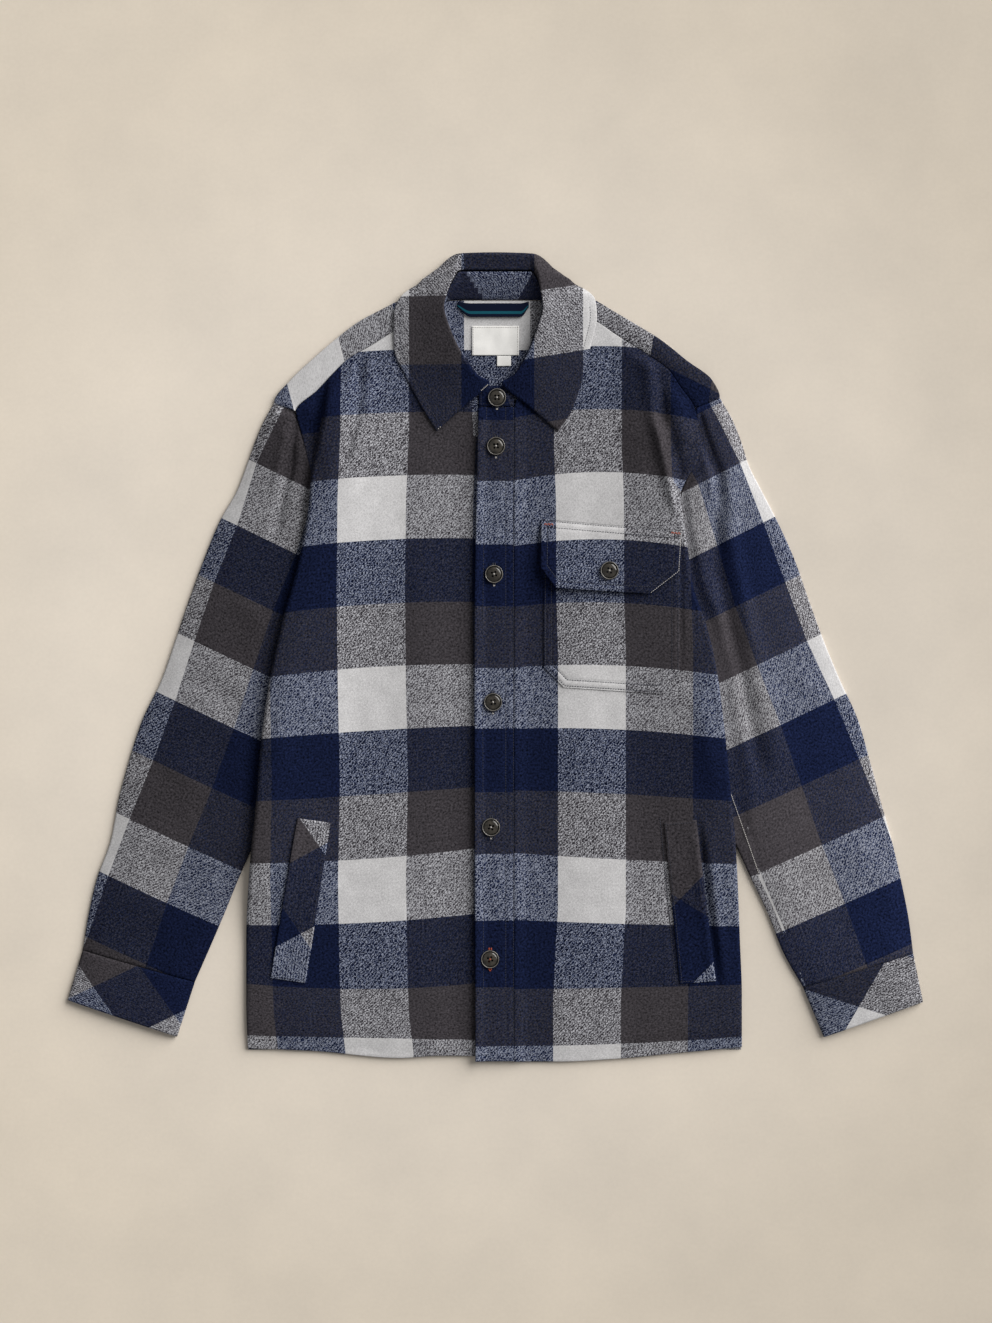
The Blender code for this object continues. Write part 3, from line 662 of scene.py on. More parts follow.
@dataclass(frozen=True)
class TwillFinish(Finish):
    """Brushed twill in a three-colour block check; the cloth map gives warp across and weft down."""

    name: str = "check_twill"
    light: Colour = (0.56, 0.555, 0.565)
    brown: Colour = (0.0465, 0.0420, 0.0475)
    navy: Colour = (0.0060, 0.0097, 0.032)
    warp_stripe: float = 68.7
    weft_stripe: float = 64.6
    warp_repeat: float = 3.5
    weft_repeat: float = 3.9
    wander: float = 2.9
    warp_share: float = 0.42
    float_contrast: float = 0.48
    # Painted shade: mixed_shade and sunk darken and tint a mix the more its warp and weft colours differ, as the
    # darker yarn's shade on the paler.
    blend: float = 0.16
    mixed_shade: float = 1.42
    sunk: Colour = (0.0, 0.085, 0.30)
    marl: float = 1.1
    cloud: float = 0.09
    # Painted light and shade across the twill lines.
    line_shade: float = 0.08

    def wire(self, graph: Graph) -> None:
        """Lay the cloth's nodes: stripes, twill lines, lint, a brushed surface, and painted shade on mixes of
        far-apart colours and along the twill lines.

        Args:
            graph: material to add to.
        """
        place, across, down = graph.cloth_place()
        light, brown, navy = (tuple(c**self.blend for c in dye) for dye in (self.light, self.brown, self.navy))
        warp = self.stripes(graph, across, self.warp_stripe, [light, brown, navy])
        weft = self.stripes(graph, down, self.weft_stripe, [light, navy, brown])
        uneven = graph.noise(place, 450.0, 2.0)
        fuzz = graph.noise(place, 600.0, 2.0, 0.55)
        wander = graph.math("MULTIPLY", uneven, self.wander)
        turn = graph.math("MULTIPLY_ADD", across, 1 / (self.warp_repeat * MM), wander)
        phase = graph.math("MULTIPLY_ADD", down, 1 / (self.weft_repeat * MM), turn)
        wave = graph.math("SINE", graph.math("MULTIPLY", phase, math.tau))
        crisp = graph.range(wave, -0.6, 0.6, -1.0, 1.0)
        rough_wave = graph.math("ADD", crisp, graph.range(fuzz, 0.25, 0.75, -1.0, 1.0))
        apart = graph.measure("DISTANCE", warp, weft)
        contrast = graph.range(apart, 0.2, 0.45, 0.5 * self.float_contrast, self.float_contrast)
        share = graph.math("MULTIPLY_ADD", rough_wave, contrast, self.warp_share)
        woven = graph.mix(graph.range(share, 0.0, 1.0, 0.0, 1.0), weft, warp)
        plain = graph.node("ShaderNodeGamma", {0: woven, 1: 1 / self.blend}).outputs[0]
        # Painted shade on mixes of far-apart colours, multiplied into the dyed colour.
        depth = graph.math("MULTIPLY", graph.math("POWER", apart, 3.0), self.mixed_shade)
        sunk = graph.mix(depth, (1.0, 1.0, 1.0, 1.0), (*self.sunk, 1.0))
        dyed_and_shaded_cloth = graph.mix(1.0, plain, sunk, "MULTIPLY")
        bright = graph.node("ShaderNodeRGBToBW", {0: dyed_and_shaded_cloth}).outputs[0]
        reach = graph.range(bright, 0.02, 0.14, self.marl, 0.15 * self.marl)
        lint = graph.range(graph.noise(place, 460.0, 3.0, 0.6), 0.25, 0.75, -1.0, 1.0)
        marl = graph.math("MULTIPLY_ADD", lint, reach, 1.0)
        cloud = graph.range(graph.noise(place, 60.0, 4.0), 0.25, 0.75, 1 - self.cloud, 1 + self.cloud)
        # Painted light and shade along the twill lines, multiplied with the yarn's own marl and cloud.
        lines = graph.range(wave, -1.0, 1.0, 1 - self.line_shade, 1 + self.line_shade)
        shade = graph.math("MULTIPLY", graph.math("MULTIPLY", marl, cloud), lines)
        colour = graph.mix(1.0, dyed_and_shaded_cloth, shade, "MULTIPLY")
        graph.set(Base_Color=colour, Roughness=0.94, Specular_IOR_Level=0.04)
        graph.bump(graph.math("MULTIPLY_ADD", fuzz, 0.6, graph.math("MULTIPLY", wave, 0.5)), 0.25, 0.00025)

    def stripes(self, graph: Graph, along: object, width: float, colours: Sequence[Colour]) -> Socket:
        """Repeat of three sharp stripes, each width millimetres wide."""
        repeat = graph.math("FRACT", graph.math("MULTIPLY", along, 1 / (3 * width * MM)))
        return graph.ramp(repeat, [(k / 3, colour) for k, colour in enumerate(colours)], "CONSTANT")

    def painted_light_copy(self, name: str, pale: float, dark: float) -> "TwillFinish":
        """Same cloth with painted shade or painted light, its yarns' colours scaled as if it lay away from or
        towards the light.

        Args:
            name: name of its material.
            pale: shade of the pale yarn.
            dark: shade of the brown and the navy yarns.

        Returns:
            The cloth with its painted shade or light.
        """
        light = tuple(pale * c for c in self.light)
        brown, navy = (tuple(dark * c for c in dye) for dye in (self.brown, self.navy))
        return replace(self, name=name, light=light, brown=brown, navy=navy)

    def lay(self, warp_count: Array, weft_count: Array) -> Array:
        """Place on the cloth in millimetres from counts of stripes."""
        return np.stack([warp_count * self.warp_stripe, weft_count * self.weft_stripe], axis=-1)


@dataclass(frozen=True)
class ThreadFinish(Finish):
    """Sewing thread with a twisted sheen."""

    thread: Thread

    @property
    def name(self) -> str:
        """Name of the thread's material."""
        return f"thread_{self.thread.name.lower()}"

    def wire(self, graph: Graph) -> None:
        """Lay the thread's nodes.

        Args:
            graph: material to add to.
        """
        twist = graph.noise(graph.object_place(), 1800.0, 2.0)
        dark = tuple(0.7 * c for c in self.thread.value)
        bright = tuple(min(1.3 * c, 1.0) for c in self.thread.value)
        graph.set(Base_Color=graph.ramp(twist, [(0.3, dark), (0.7, bright)], "LINEAR"), Roughness=0.7)


@dataclass(frozen=True)
class HornFinish(Finish):
    """Dark polished horn, clouded."""

    name: str
    dark: Colour
    pale: Colour

    def wire(self, graph: Graph) -> None:
        """Lay the horn's nodes.

        Args:
            graph: material to add to.
        """
        cloud = graph.noise(graph.object_place(), 260.0, 3.0, 0.6)
        graph.set(Base_Color=graph.ramp(cloud, [(0.35, self.dark), (0.75, self.pale)], "LINEAR"))
        graph.set(Roughness=graph.range(cloud, 0.2, 0.8, 0.16, 0.26), Specular_IOR_Level=0.8)
        graph.bump(cloud, 0.06, 0.0004)


@dataclass(frozen=True)
class TapeFinish(Finish):
    """Navy woven tape with one teal stripe; its map runs along and across the tape."""

    name: str = "hanger_tape"
    navy: Colour = (0.004, 0.007, 0.022)
    teal: Colour = (0.008, 0.085, 0.120)
    stripe_from: float = 0.58
    stripe_to: float = 0.78
    rib: float = 0.9

    def wire(self, graph: Graph) -> None:
        """Lay the tape's nodes.

        Args:
            graph: material to add to.
        """
        _, along, across = graph.cloth_place()
        stops = [(0.0, self.navy), (self.stripe_from, self.teal), (self.stripe_to, self.navy)]
        colour = graph.ramp(graph.math("MULTIPLY", across, 1 / MM), stops, "CONSTANT")
        ribs = graph.math("SINE", graph.math("MULTIPLY", along, math.tau / (self.rib * MM)))
        shade = graph.range(ribs, -1.0, 1.0, 0.75, 1.25)
        graph.set(Base_Color=graph.mix(1.0, colour, shade, "MULTIPLY"), Roughness=0.85, Specular_IOR_Level=0.08)
        graph.bump(ribs, 0.3, 0.0002)


@dataclass(frozen=True)
class LabelFinish(Finish):
    """Cream damask of the bare labels."""

    name: str = "cream_damask"
    cream: Colour = (0.91, 0.90, 0.88)
    low: float = 0.93

    def wire(self, graph: Graph) -> None:
        """Lay the damask's nodes.

        Args:
            graph: material to add to.
        """
        place = graph.object_place()
        weave = graph.noise(place, 1400.0, 2.0)
        stops = [(0.25, tuple(self.low * c for c in self.cream)), (0.75, self.cream)]
        shade = graph.range(graph.noise(place, 90.0, 2.0), 0.25, 0.75, self.low, 1.05)
        colour = graph.mix(1.0, graph.ramp(weave, stops, "LINEAR"), shade, "MULTIPLY")
        graph.set(Base_Color=colour, Roughness=0.62, Sheen_Weight=0.1)
        graph.bump(weave, 0.3, 0.0002)


@dataclass(frozen=True)
class FloorFinish(Finish):
    """Plain warm plaster that the garment lies on, faintly mottled, with painted light: brighter near it and to
    the upper left, darker at the corners.
    """

    name: str = "warm_plaster"
    colour: Colour = (0.728, 0.652, 0.552)
    mottle: float = 0.05
    warmth: Colour = (1.0, 0.9, 0.7)
    # Painted light and shade: side_shade along the away direction, corner_shade far out, near as a pool of light
    # round the garment.
    side_shade: float = 0.076
    side_reach: float = 0.83
    corner_shade: float = 0.05
    near: Colour = (1.05, 1.065, 1.10)
    away: tuple[float, float, float] = (1.0, -0.5, 0.0)

    def wire(self, graph: Graph) -> None:
        """Lay the floor's nodes.

        Args:
            graph: material to add to.
        """
        place = graph.object_place()
        low = tuple((1 - self.mottle) * c for c in self.colour)
        warm = tuple(c * (1 + self.mottle * k) for c, k in zip(self.colour, self.warmth))
        colour = graph.ramp(graph.noise(place, 6.0, 6.0, 0.62), [(0.32, low), (0.68, warm)], "LINEAR")
        # Painted light on the upper left and painted shade on the lower right.
        lean = graph.measure("DOT_PRODUCT", place, self.away)
        side = graph.range(lean, -self.side_reach, self.side_reach, 1 + self.side_shade, 1 - self.side_shade)
        fine = graph.range(graph.noise(place, 260.0, 3.0), 0.25, 0.75, 0.98, 1.02)
        out = graph.measure("LENGTH", place)
        # Painted shade at the corners and a painted pool of light near the garment.
        corner = graph.range(out, 0.45, 0.85, 1.0, 1 - self.corner_shade)
        far = graph.range(out, 0.43, 0.68, 0.0, 1.0)
        colour = graph.mix(1.0, colour, graph.mix(far, (*self.near, 1.0), (1.0, 1.0, 1.0, 1.0)), "MULTIPLY")
        shade = graph.math("MULTIPLY", graph.math("MULTIPLY", side, corner), fine)
        graph.set(Base_Color=graph.mix(1.0, colour, shade, "MULTIPLY"), Roughness=0.95, Specular_IOR_Level=0.05)


TWILL = TwillFinish()


@dataclass(frozen=True)
class StripeLine:
    """Line where a stripe begins; the count grows to the left of its direction."""

    start: Point
    end: Point
    count: float
    width: float

    def at(self, points: Array) -> Array:
        """Count of stripes at each point."""
        way_x, way_y = np.subtract(self.end, self.start) / (math.dist(self.start, self.end) * self.width)
        return self.count + (points[..., 1] - self.start[1]) * way_x - (points[..., 0] - self.start[0]) * way_y


@dataclass(frozen=True)
class TwoLineMap:
    """Straight cloth map of a piece from one warp line and one weft line."""

    warp: StripeLine
    weft: StripeLine

    def __call__(self, points: Array, centres: Array) -> Array:
        """Place on the cloth of each corner."""
        return TWILL.lay(self.warp.at(points), self.weft.at(points))


INSIDE_BACK = TwoLineMap(
    StripeLine((-32.1, 300), (-32.1, 200), 0.0, 67.0), StripeLine((50, 315), (-50, 315), 1.0, 64.6))


class Stitching:
    """Rows of stitches laid on finished pieces, gathered into one piece for each thread."""

    LENGTH = 2.2
    PITCH = 2.6
    RADIUS = 0.24
    RINGS = ((-0.5, 0.35, -0.20), (-0.3, 1.0, 0.15), (0.3, 1.0, 0.15), (0.5, 0.35, -0.20))
    SIDES = 5
    REACH = 0.4
    ABOVE = 0.2

    def __init__(self) -> None:
        """Start with no stitches."""
        self.runs: dict[Thread, list[tuple[Array, Array, float, float]]] = {}

    def sew(self, line: Pairs, bed: BVHTree, thread: Thread, pitch: float = PITCH, radius: float = RADIUS) -> None:
        """Lay a row of stitches along a line.

        Args:
            line: corners of the row in plan.
            bed: surface that it is sewn on.
            thread: the thread.
            pitch: distance from stitch to stitch.
            radius: thickness of the thread.
        """
        points = np.asarray(line, float)
        steps = np.linalg.norm(np.diff(points, axis=0), axis=1)
        along = np.concatenate([[0.0], np.cumsum(steps)])
        count = int(along[-1] / pitch)
        length = pitch * self.LENGTH / self.PITCH
        for k in range(count):
            middle = (k + 0.5) * along[-1] / max(count, 1)
            near, far = (
                np.array([np.interp(middle + d, along, points[:, axis]) for axis in (0, 1)]) for d in (-0.1, 0.1)
            )
            place = (near + far) / 2
            way = (far - near) / max(float(np.linalg.norm(far - near)), 1e-9)
            heights = []
            for reach in (-self.REACH, self.REACH):
                spot = place + way * reach * length
                hit = bed.ray_cast(Vector((spot[0] * MM, spot[1] * MM, self.ABOVE)), Vector((0, 0, -1)))[0]
                if hit is not None:
                    heights.append(hit.z / MM)
            if len(heights) == 2:
                tilt = (heights[1] - heights[0]) / (2 * self.REACH * length)
                centre = np.array([place[0], place[1], sum(heights) / 2])
                self.runs.setdefault(thread, []).append((centre, np.array([way[0], way[1], tilt]), length, radius))

    def build(self, name: str, slot: Slot) -> None:
        """Make one piece for each thread used.

        Args:
            name: start of the pieces' names.
            slot: material slot of the cloth that is sewn; passed on but not used.
        """
        turn = np.linspace(0, math.tau, self.SIDES, endpoint=False)
        index = np.arange(len(self.RINGS) * self.SIDES).reshape(-1, self.SIDES)
        after = np.roll(index, -1, axis=1)
        quads = np.stack([index[:-1], index[1:], after[1:], after[:-1]], axis=2).reshape(-1, 4).tolist()
        pattern = [*quads, index[0].tolist(), index[-1][::-1].tolist()]
        for thread, runs in self.runs.items():
            points, faces = [], []
            for centre, way, length, radius in runs:
                faces.extend([len(points) + corner for corner in face] for face in pattern)
                around = np.outer(np.cos(turn), (-way[1], way[0], 0.0)) + np.outer(np.sin(turn), (0.0, 0.0, 1.0))
                for reach, share, rise in self.RINGS:
                    points.extend(centre + way * reach * length + around * share * radius + (0.0, 0.0, rise))
            mesh = bpy.data.meshes.new(name)
            mesh.from_pydata((np.array(points) * MM).tolist(), [], faces)
            mesh.shade_smooth()
            place_piece(f"{name}_{thread.name.lower()}", mesh, ThreadFinish(thread).material(), slot)


def bed_of(*pieces: Piece) -> BVHTree:
    """Make a search tree.

    Args:
        pieces: what something is sewn on.

    Returns:
        The tree over all their faces.
    """
    points: list[Vector] = []
    faces: list[tuple[int, ...]] = []
    for piece in pieces:
        first = len(points)
        points.extend(vertex.co.copy() for vertex in piece.data.vertices)
        faces.extend(tuple(first + index for index in face.vertices) for face in piece.data.polygons)
    return BVHTree.FromPolygons(points, faces)


@dataclass(frozen=True)
class FrontLie:
    """How a front lies over the back: loft, roll of its side, lift over the tucked sleeve."""

    loft: float = 2.2
    side_loft: float = 1.5
    shoulder_loft: float = 4.0
    edge_width: float = 24.0
    roll: float = 2.0
    roll_width: float = 2.5
    fold_width: float = 5.0
    roll_reach: float = 30.0
    rest: float = 2.2
    placket_step: float = 2.4
    chest_out: Fade = Fade(35.0, 50.0)
    chest_down: Fade = Fade(250.0, 60.0)
    shoulder_out: Fade = Fade(112.0, 40.0)
    shoulder_up: Fade = Fade(120.0, 70.0)
    roll_down: Fade = Fade(200.0, 40.0)
    lift_inside: Fade = Fade(10.0, 90.0)
    lift_end: Fade = Fade(-300.0, 105.0)
    placket_clear: Fade = Fade(22.0, 30.0)
    placket_rise: Fade = Fade(18.8, 16.0)
    fold_fade: float = 12.0
    fold_reach: float = 6.0
    ripples: Sequence[Ripple] = (Ripple(0.35, 46.0, 3), Ripple(0.175, 19.0, 4))


@dataclass(frozen=True)
class TakenIn:
    """Fold that swallows some cloth, so that the check jumps across its line."""

    line: Pairs
    warp: float
    drop: float


@dataclass
class FrontPanel:
    """One front: its outline, how it lies, and how its check runs."""

    hand: Hand
    edge: Sequence[Edge]
    neck: Sequence[Edge]
    hem: Sequence[Edge]
    below_neck: float
    fold: Sequence[Edge]
    lift: float
    lift_from: Fade
    creases: Sequence[Crease]
    light_at: float
    stripe: float
    wobble: Pairs
    row_starts: Sequence[float]
    shifts: Sequence[RowShift]
    shift_from: float
    taken_in: TakenIn
    shift_reach: float = 228.0
    row: float = 64.6
    width: float = 270.0
    step: float = 2.4
    rim: float = 0.9
    band: Edge = Edge(226.0, -23.0)
    band_count: float = 0.3
    hem_mean: float = -402.0
    hem_reach: float = 150.0
    lie: FrontLie = FrontLie()

    def hem_y(self, x: Array) -> Array:
        """Height of the hem at each x."""
        return eased_curve(x, [row.x for row in self.hem], [row.y for row in self.hem])

    def fold_x(self, y: Array) -> Array:
        """Place of the fold that the raised side turns down at: its own line, then the edge."""
        below = [row for row in self.edge if not self.fold or row.y < self.fold[-1].y]
        return edge_at([*self.fold, *below], y)

    def raised(self, x: Array, y: Array, hem: Array) -> Array:
        """Lift of the side over the tucked sleeve.

        Args:
            x: places across.
            y: places along.
            hem: 0 at the hem, 1 above it.

        Returns:
            Height to add.
        """
        lie = self.lie
        fold = self.fold_x(y)
        inside = (fold - x) * self.hand.value
        off_edge = smoothstep(np.abs(fold - edge_at(self.edge, y)) / lie.fold_reach)
        width = lie.roll_width + (lie.fold_width - lie.roll_width) * off_edge
        turned = np.sqrt(1 - (1 - np.clip(inside / width, 0.0, 1.0)) ** 2)
        over = self.lift_from.falling(y) * lie.lift_end.rising(y) * (1 - lie.lift_inside.rising(inside))
        rolled = lie.roll * turned * (1 - smoothstep(inside / lie.roll_reach)) * lie.roll_down.falling(y) * hem
        return over * (lie.rest + self.lift * turned) + rolled

    def plan(self) -> Array:
        """Lay out the panel from the yoke seam down, its lowest rows bent to the hem.

        Returns:
            Fine grid of (x, y).
        """
        top = self.edge[0].y - WALL
        y = top + (self.hem_mean - top) * spaced(top - self.hem_mean, self.step, self.rim)
        outer = edge_at(self.edge, y)
        neck_x = table_at(y, [(row.y, row.x) for row in self.neck])
        inner = np.where(y > self.neck[-1].y, neck_x, self.below_neck)
        shares = spaced(self.width, self.step, self.rim)
        sides = [np.stack([inner, y], axis=1), np.stack([outer, y], axis=1)]
        plan = between_edges(*(sides if self.hand is Hand.RIGHT else sides[::-1]), shares)
        bend = smoothstep((self.hem_mean + self.hem_reach - plan[..., 1]) / self.hem_reach)
        plan[..., 1] += (self.hem_y(plan[..., 0]) - self.hem_mean) * bend
        return plan

    def underside(self, x: Array, y: Array) -> Array:
        """Height of the lower face.

        Args:
            x: places across.
            y: places along.

        Returns:
            Heights above the floor.
        """
        lie = self.lie
        away = np.abs(edge_at(self.edge, y) - x)
        from_hem = np.maximum(y - self.hem_y(x), 0.0)
        at_hem = smoothstep(from_hem / lie.edge_width)
        at_edge = smoothstep(away / lie.edge_width) * at_hem
        out = np.abs(x)
        chest = lie.chest_out.rising(out) * lie.chest_down.falling(y)
        outer = lie.side_loft + (lie.shoulder_loft - lie.side_loft) * lie.shoulder_up.rising(y)
        loft = np.maximum(lie.loft * chest, outer * lie.shoulder_out.rising(out)) * at_edge
        height = loft + self.raised(x, y, at_hem)
        folds = relief(x, y, self.creases) + rippled(x, y, lie.ripples) * at_edge
        height = np.maximum(height + folds * smoothstep(away / lie.fold_fade), 0.0)
        if self.hand is Hand.LEFT:
            return UPPER + height * lie.placket_clear.rising(-x)
        return UPPER + height + lie.placket_step * (1 - lie.placket_rise.rising(x))

    def face(self, x: Array, y: Array) -> Array:
        """Height of the outer face, which trim is sewn on."""
        return self.underside(x, y) + WALL

    def cloth(self, points: Array, centres: Array) -> Array:
        """Place on the cloth of each corner.

        Args:
            points: corners of the faces.
            centres: middle of each corner's face, which decides the side of a fold.

        Returns:
            Millimetres along the weft and the warp.
        """
        x, y = points[..., 0], points[..., 1]
        t = np.clip((x - self.shift_from) * self.hand.value / self.shift_reach, 0.0, 1.1)
        start, linear, square = (table_at(y, [(row.y, row[part]) for row in self.shifts]) for part in (1, 2, 3))
        drop = start + linear * t + square * t * t
        fold_x = table_at(centres[..., 1], self.taken_in.line)
        taken = ((centres[..., 0] - fold_x) * self.hand.value > 0).astype(float)
        level = y + drop + self.taken_in.drop * taken
        starts = np.asarray(self.row_starts)
        count = np.interp(-level, -starts, np.arange(len(starts)))
        count = count + np.minimum(starts[0] - level, 0) / self.row + np.maximum(starts[-1] - level, 0) / self.row
        across = (x - table_at(y, self.wobble) - self.light_at) / self.stripe + self.taken_in.warp * taken
        if self.hand is Hand.LEFT:
            on_band = (centres[..., 0] > self.band.x) & (centres[..., 1] > self.band.y)
            across = np.where(on_band, self.band_count + (x - self.band.x) / self.stripe, across)
        return TWILL.lay(across, count)

    def build(self) -> Piece:
        """Make the panel.

        Returns:
            The new piece.
        """
        name = f"front_{self.hand.name.lower()}"
        plan = self.plan()
        low = self.underside(plan[..., 0], plan[..., 1])
        sheet = ClothSheet(f"{name}_cloth", *shell_points(plan, low, WALL, self.rim), self.cloth)
        return sheet.build(TWILL, Slot.CHECK, [name], ["back"])


def left_front() -> FrontPanel:
    """Front on the viewer's left, which runs on under the placket.

    Returns:
        The panel.
    """
    return FrontPanel(
        hand=Hand.LEFT,
        edge=[Edge(*row) for row in (
            (354, -64), (335, -101), (319, -127), (304, -152), (289, -167), (273, -182), (252, -203.5),
            (233, -199), (207, -192.5), (187, -188.5), (161, -190), (100, -200.5), (39, -217), (-33, -232),
            (-94, -240), (-155, -245), (-216, -251), (-288, -254.5), (-349, -254.5), (-402, -253),
        )],
        neck=[Edge(*row) for row in (
            (363, -57), (356, -61), (349, -60), (335, -55.5), (319, -49), (304, -41), (289, -33),
            (276, -26.5), (262, -16), (256, 12),
        )],
        hem=[Edge(*row) for row in (
            (-398.5, -253), (-401, -189), (-408.5, -97), (-406, -57), (-407.5, 20),
        )],
        below_neck=16.5,
        fold=[Edge(*row) for row in (
            (310, -168), (294, -170), (263, -174), (233, -178.5), (212, -183), (192, -187.5), (161, -190),
        )],
        lift=9.0,
        lift_from=Fade(302.0, 60.0),
        creases=[Crease(*row) for row in (
            (-177, 296, -181, 238, -6.0, 6.0), (-184, 240, -190, 204, -5.0, 5.0),
            (-138, 309, -140.5, 250, -3.6, 6.0), (-128, 302, -131, 248, 1.2, 7.0),
            (-141, 254, -153, 196, -3.4, 6.5), (-205, -20, -225, -110, 1.5, 12.0),
            (-60, 120, -75, -60, 0.9, 26.0), (-110, 40, -120, -120, -0.8, 28.0),
            (-90, -180, -95, -340, 0.9, 28.0), (-160, -60, -170, -150, 0.8, 20.0),
            (-60, -330, -60, -408, 0.8, 16.0), (-130, -340, -132, -408, -0.7, 17.0),
            (-200, -345, -203, -405, 0.7, 15.0),
        )],
        light_at=-160.65,
        stripe=68.85,
        wobble=[(232, 3.0), (161, 0.0), (69, -1.0), (-33, 0.0), (-124, 2.0), (-226, 0.0), (-320, 1.5),
                (-362, 3.0), (-402, 7.5)],
        row_starts=[187.7, 123.4, 58.1, -6.1, -69.4, -133.6, -197.9, -264.2, -334.6, -388.6],
        shifts=[RowShift(*row) for row in (
            (187.7, 1.0, -5.6, 22.4), (-6.0, 0.5, -2.3, 18.4), (-90.0, -1.0, 10.0, 4.0),
            (-198.0, -3.5, 29.6, -14.8), (-264.0, -3.5, 24.5, -12.2), (-334.6, -2.5, 22.4, -22.4),
            (-388.6, 1.0, -4.6, 0.0),
        )],
        shift_from=-23.0,
        taken_in=TakenIn(
            [(310, -168), (263, -174.5), (233, -179), (195, -187), (165, -191), (150, -230), (140, -400)],
            0.0, 14.0),
    )


def right_front() -> FrontPanel:
    """Front on the viewer's right, which carries the placket and the chest pocket.

    Returns:
        The panel.
    """
    return FrontPanel(
        hand=Hand.RIGHT,
        edge=[Edge(*row) for row in (
            (358, 73), (343, 104), (330, 123), (308, 158), (294, 177), (278, 188), (256, 203),
            (233, 208), (212, 209), (197, 205), (182, 195), (166, 189), (146, 191), (109, 196.5),
            (74, 201.5), (34, 215), (-8, 225), (-63, 232.5), (-136, 240), (-190, 245), (-288, 249.5),
            (-349, 251.5), (-402, 251.5),
        )],
        neck=[Edge(*row) for row in (
            (363, 56), (356, 58), (349, 56.5), (335, 52), (319, 47), (304, 40.5), (289, 33),
            (276, 26.8), (262, 21), (256, 19.6),
        )],
        hem=[Edge(*row) for row in (
            (-412, 14), (-412, 66), (-409, 127), (-404, 178), (-397, 254),
        )],
        below_neck=18.7,
        fold=[],
        lift=3.4,
        lift_from=Fade(252.0, 30.0),
        creases=[Crease(*row) for row in (
            (155, 306, 161, 236, 4.0, 8.0), (162, 240, 183, 152, 6.0, 5.5),
            (169, 294, 170.5, 238, -5.0, 5.5), (174, 246, 192, 176, -3.0, 6.0),
            (184, 274, 198, 222, 1.8, 9.0), (205, -40, 222, -120, 1.5, 12.0),
            (90, 60, 84, -110, 0.8, 26.0), (150, -80, 160, -200, -0.8, 26.0),
            (110, -190, 112, -350, 0.9, 28.0), (60, -120, 58, -260, -0.6, 22.0),
            (70, -340, 69, -410, 0.8, 16.0), (140, -345, 141, -406, -0.7, 17.0),
            (205, -345, 207, -400, 0.7, 15.0), (208.5, -180, 226, -322, -4.2, 3.0),
            (217, -186, 233, -318, 2.0, 6.0), (189.2, 118, 189.2, -2, -1.3, 2.2),
            (168.5, -180, 182.5, -318, -1.2, 2.0),
        )],
        light_at=63.75,
        stripe=68.6,
        wobble=[(212, -4.0), (161, -2.0), (69, -2.0), (8, 0.0), (-257, 0.0), (-288, -2.0), (-349, -5.0)],
        row_starts=[189.7, 121.4, 57.1, -7.1, -71.4, -136.7, -203.0, -269.3, -337.6, -394.7],
        shifts=[RowShift(*row) for row in (
            (189.7, 8.9, -46.5, 61.0), (-7.1, 2.5, -17.1, 28.5), (-80.0, 0.0, -6.0, 18.0),
            (-203.0, -4.0, 16.3, -5.1), (-269.0, -2.5, 9.0, -2.0), (-337.6, 0.0, -2.0, -3.0),
            (-394.7, 1.0, 0.0, -9.7),
        )],
        shift_from=20.0,
        taken_in=TakenIn([(330, 154), (306, 160), (236, 168), (185, 178), (160, 196), (150, 300)], 0.27, 0.0),
    )


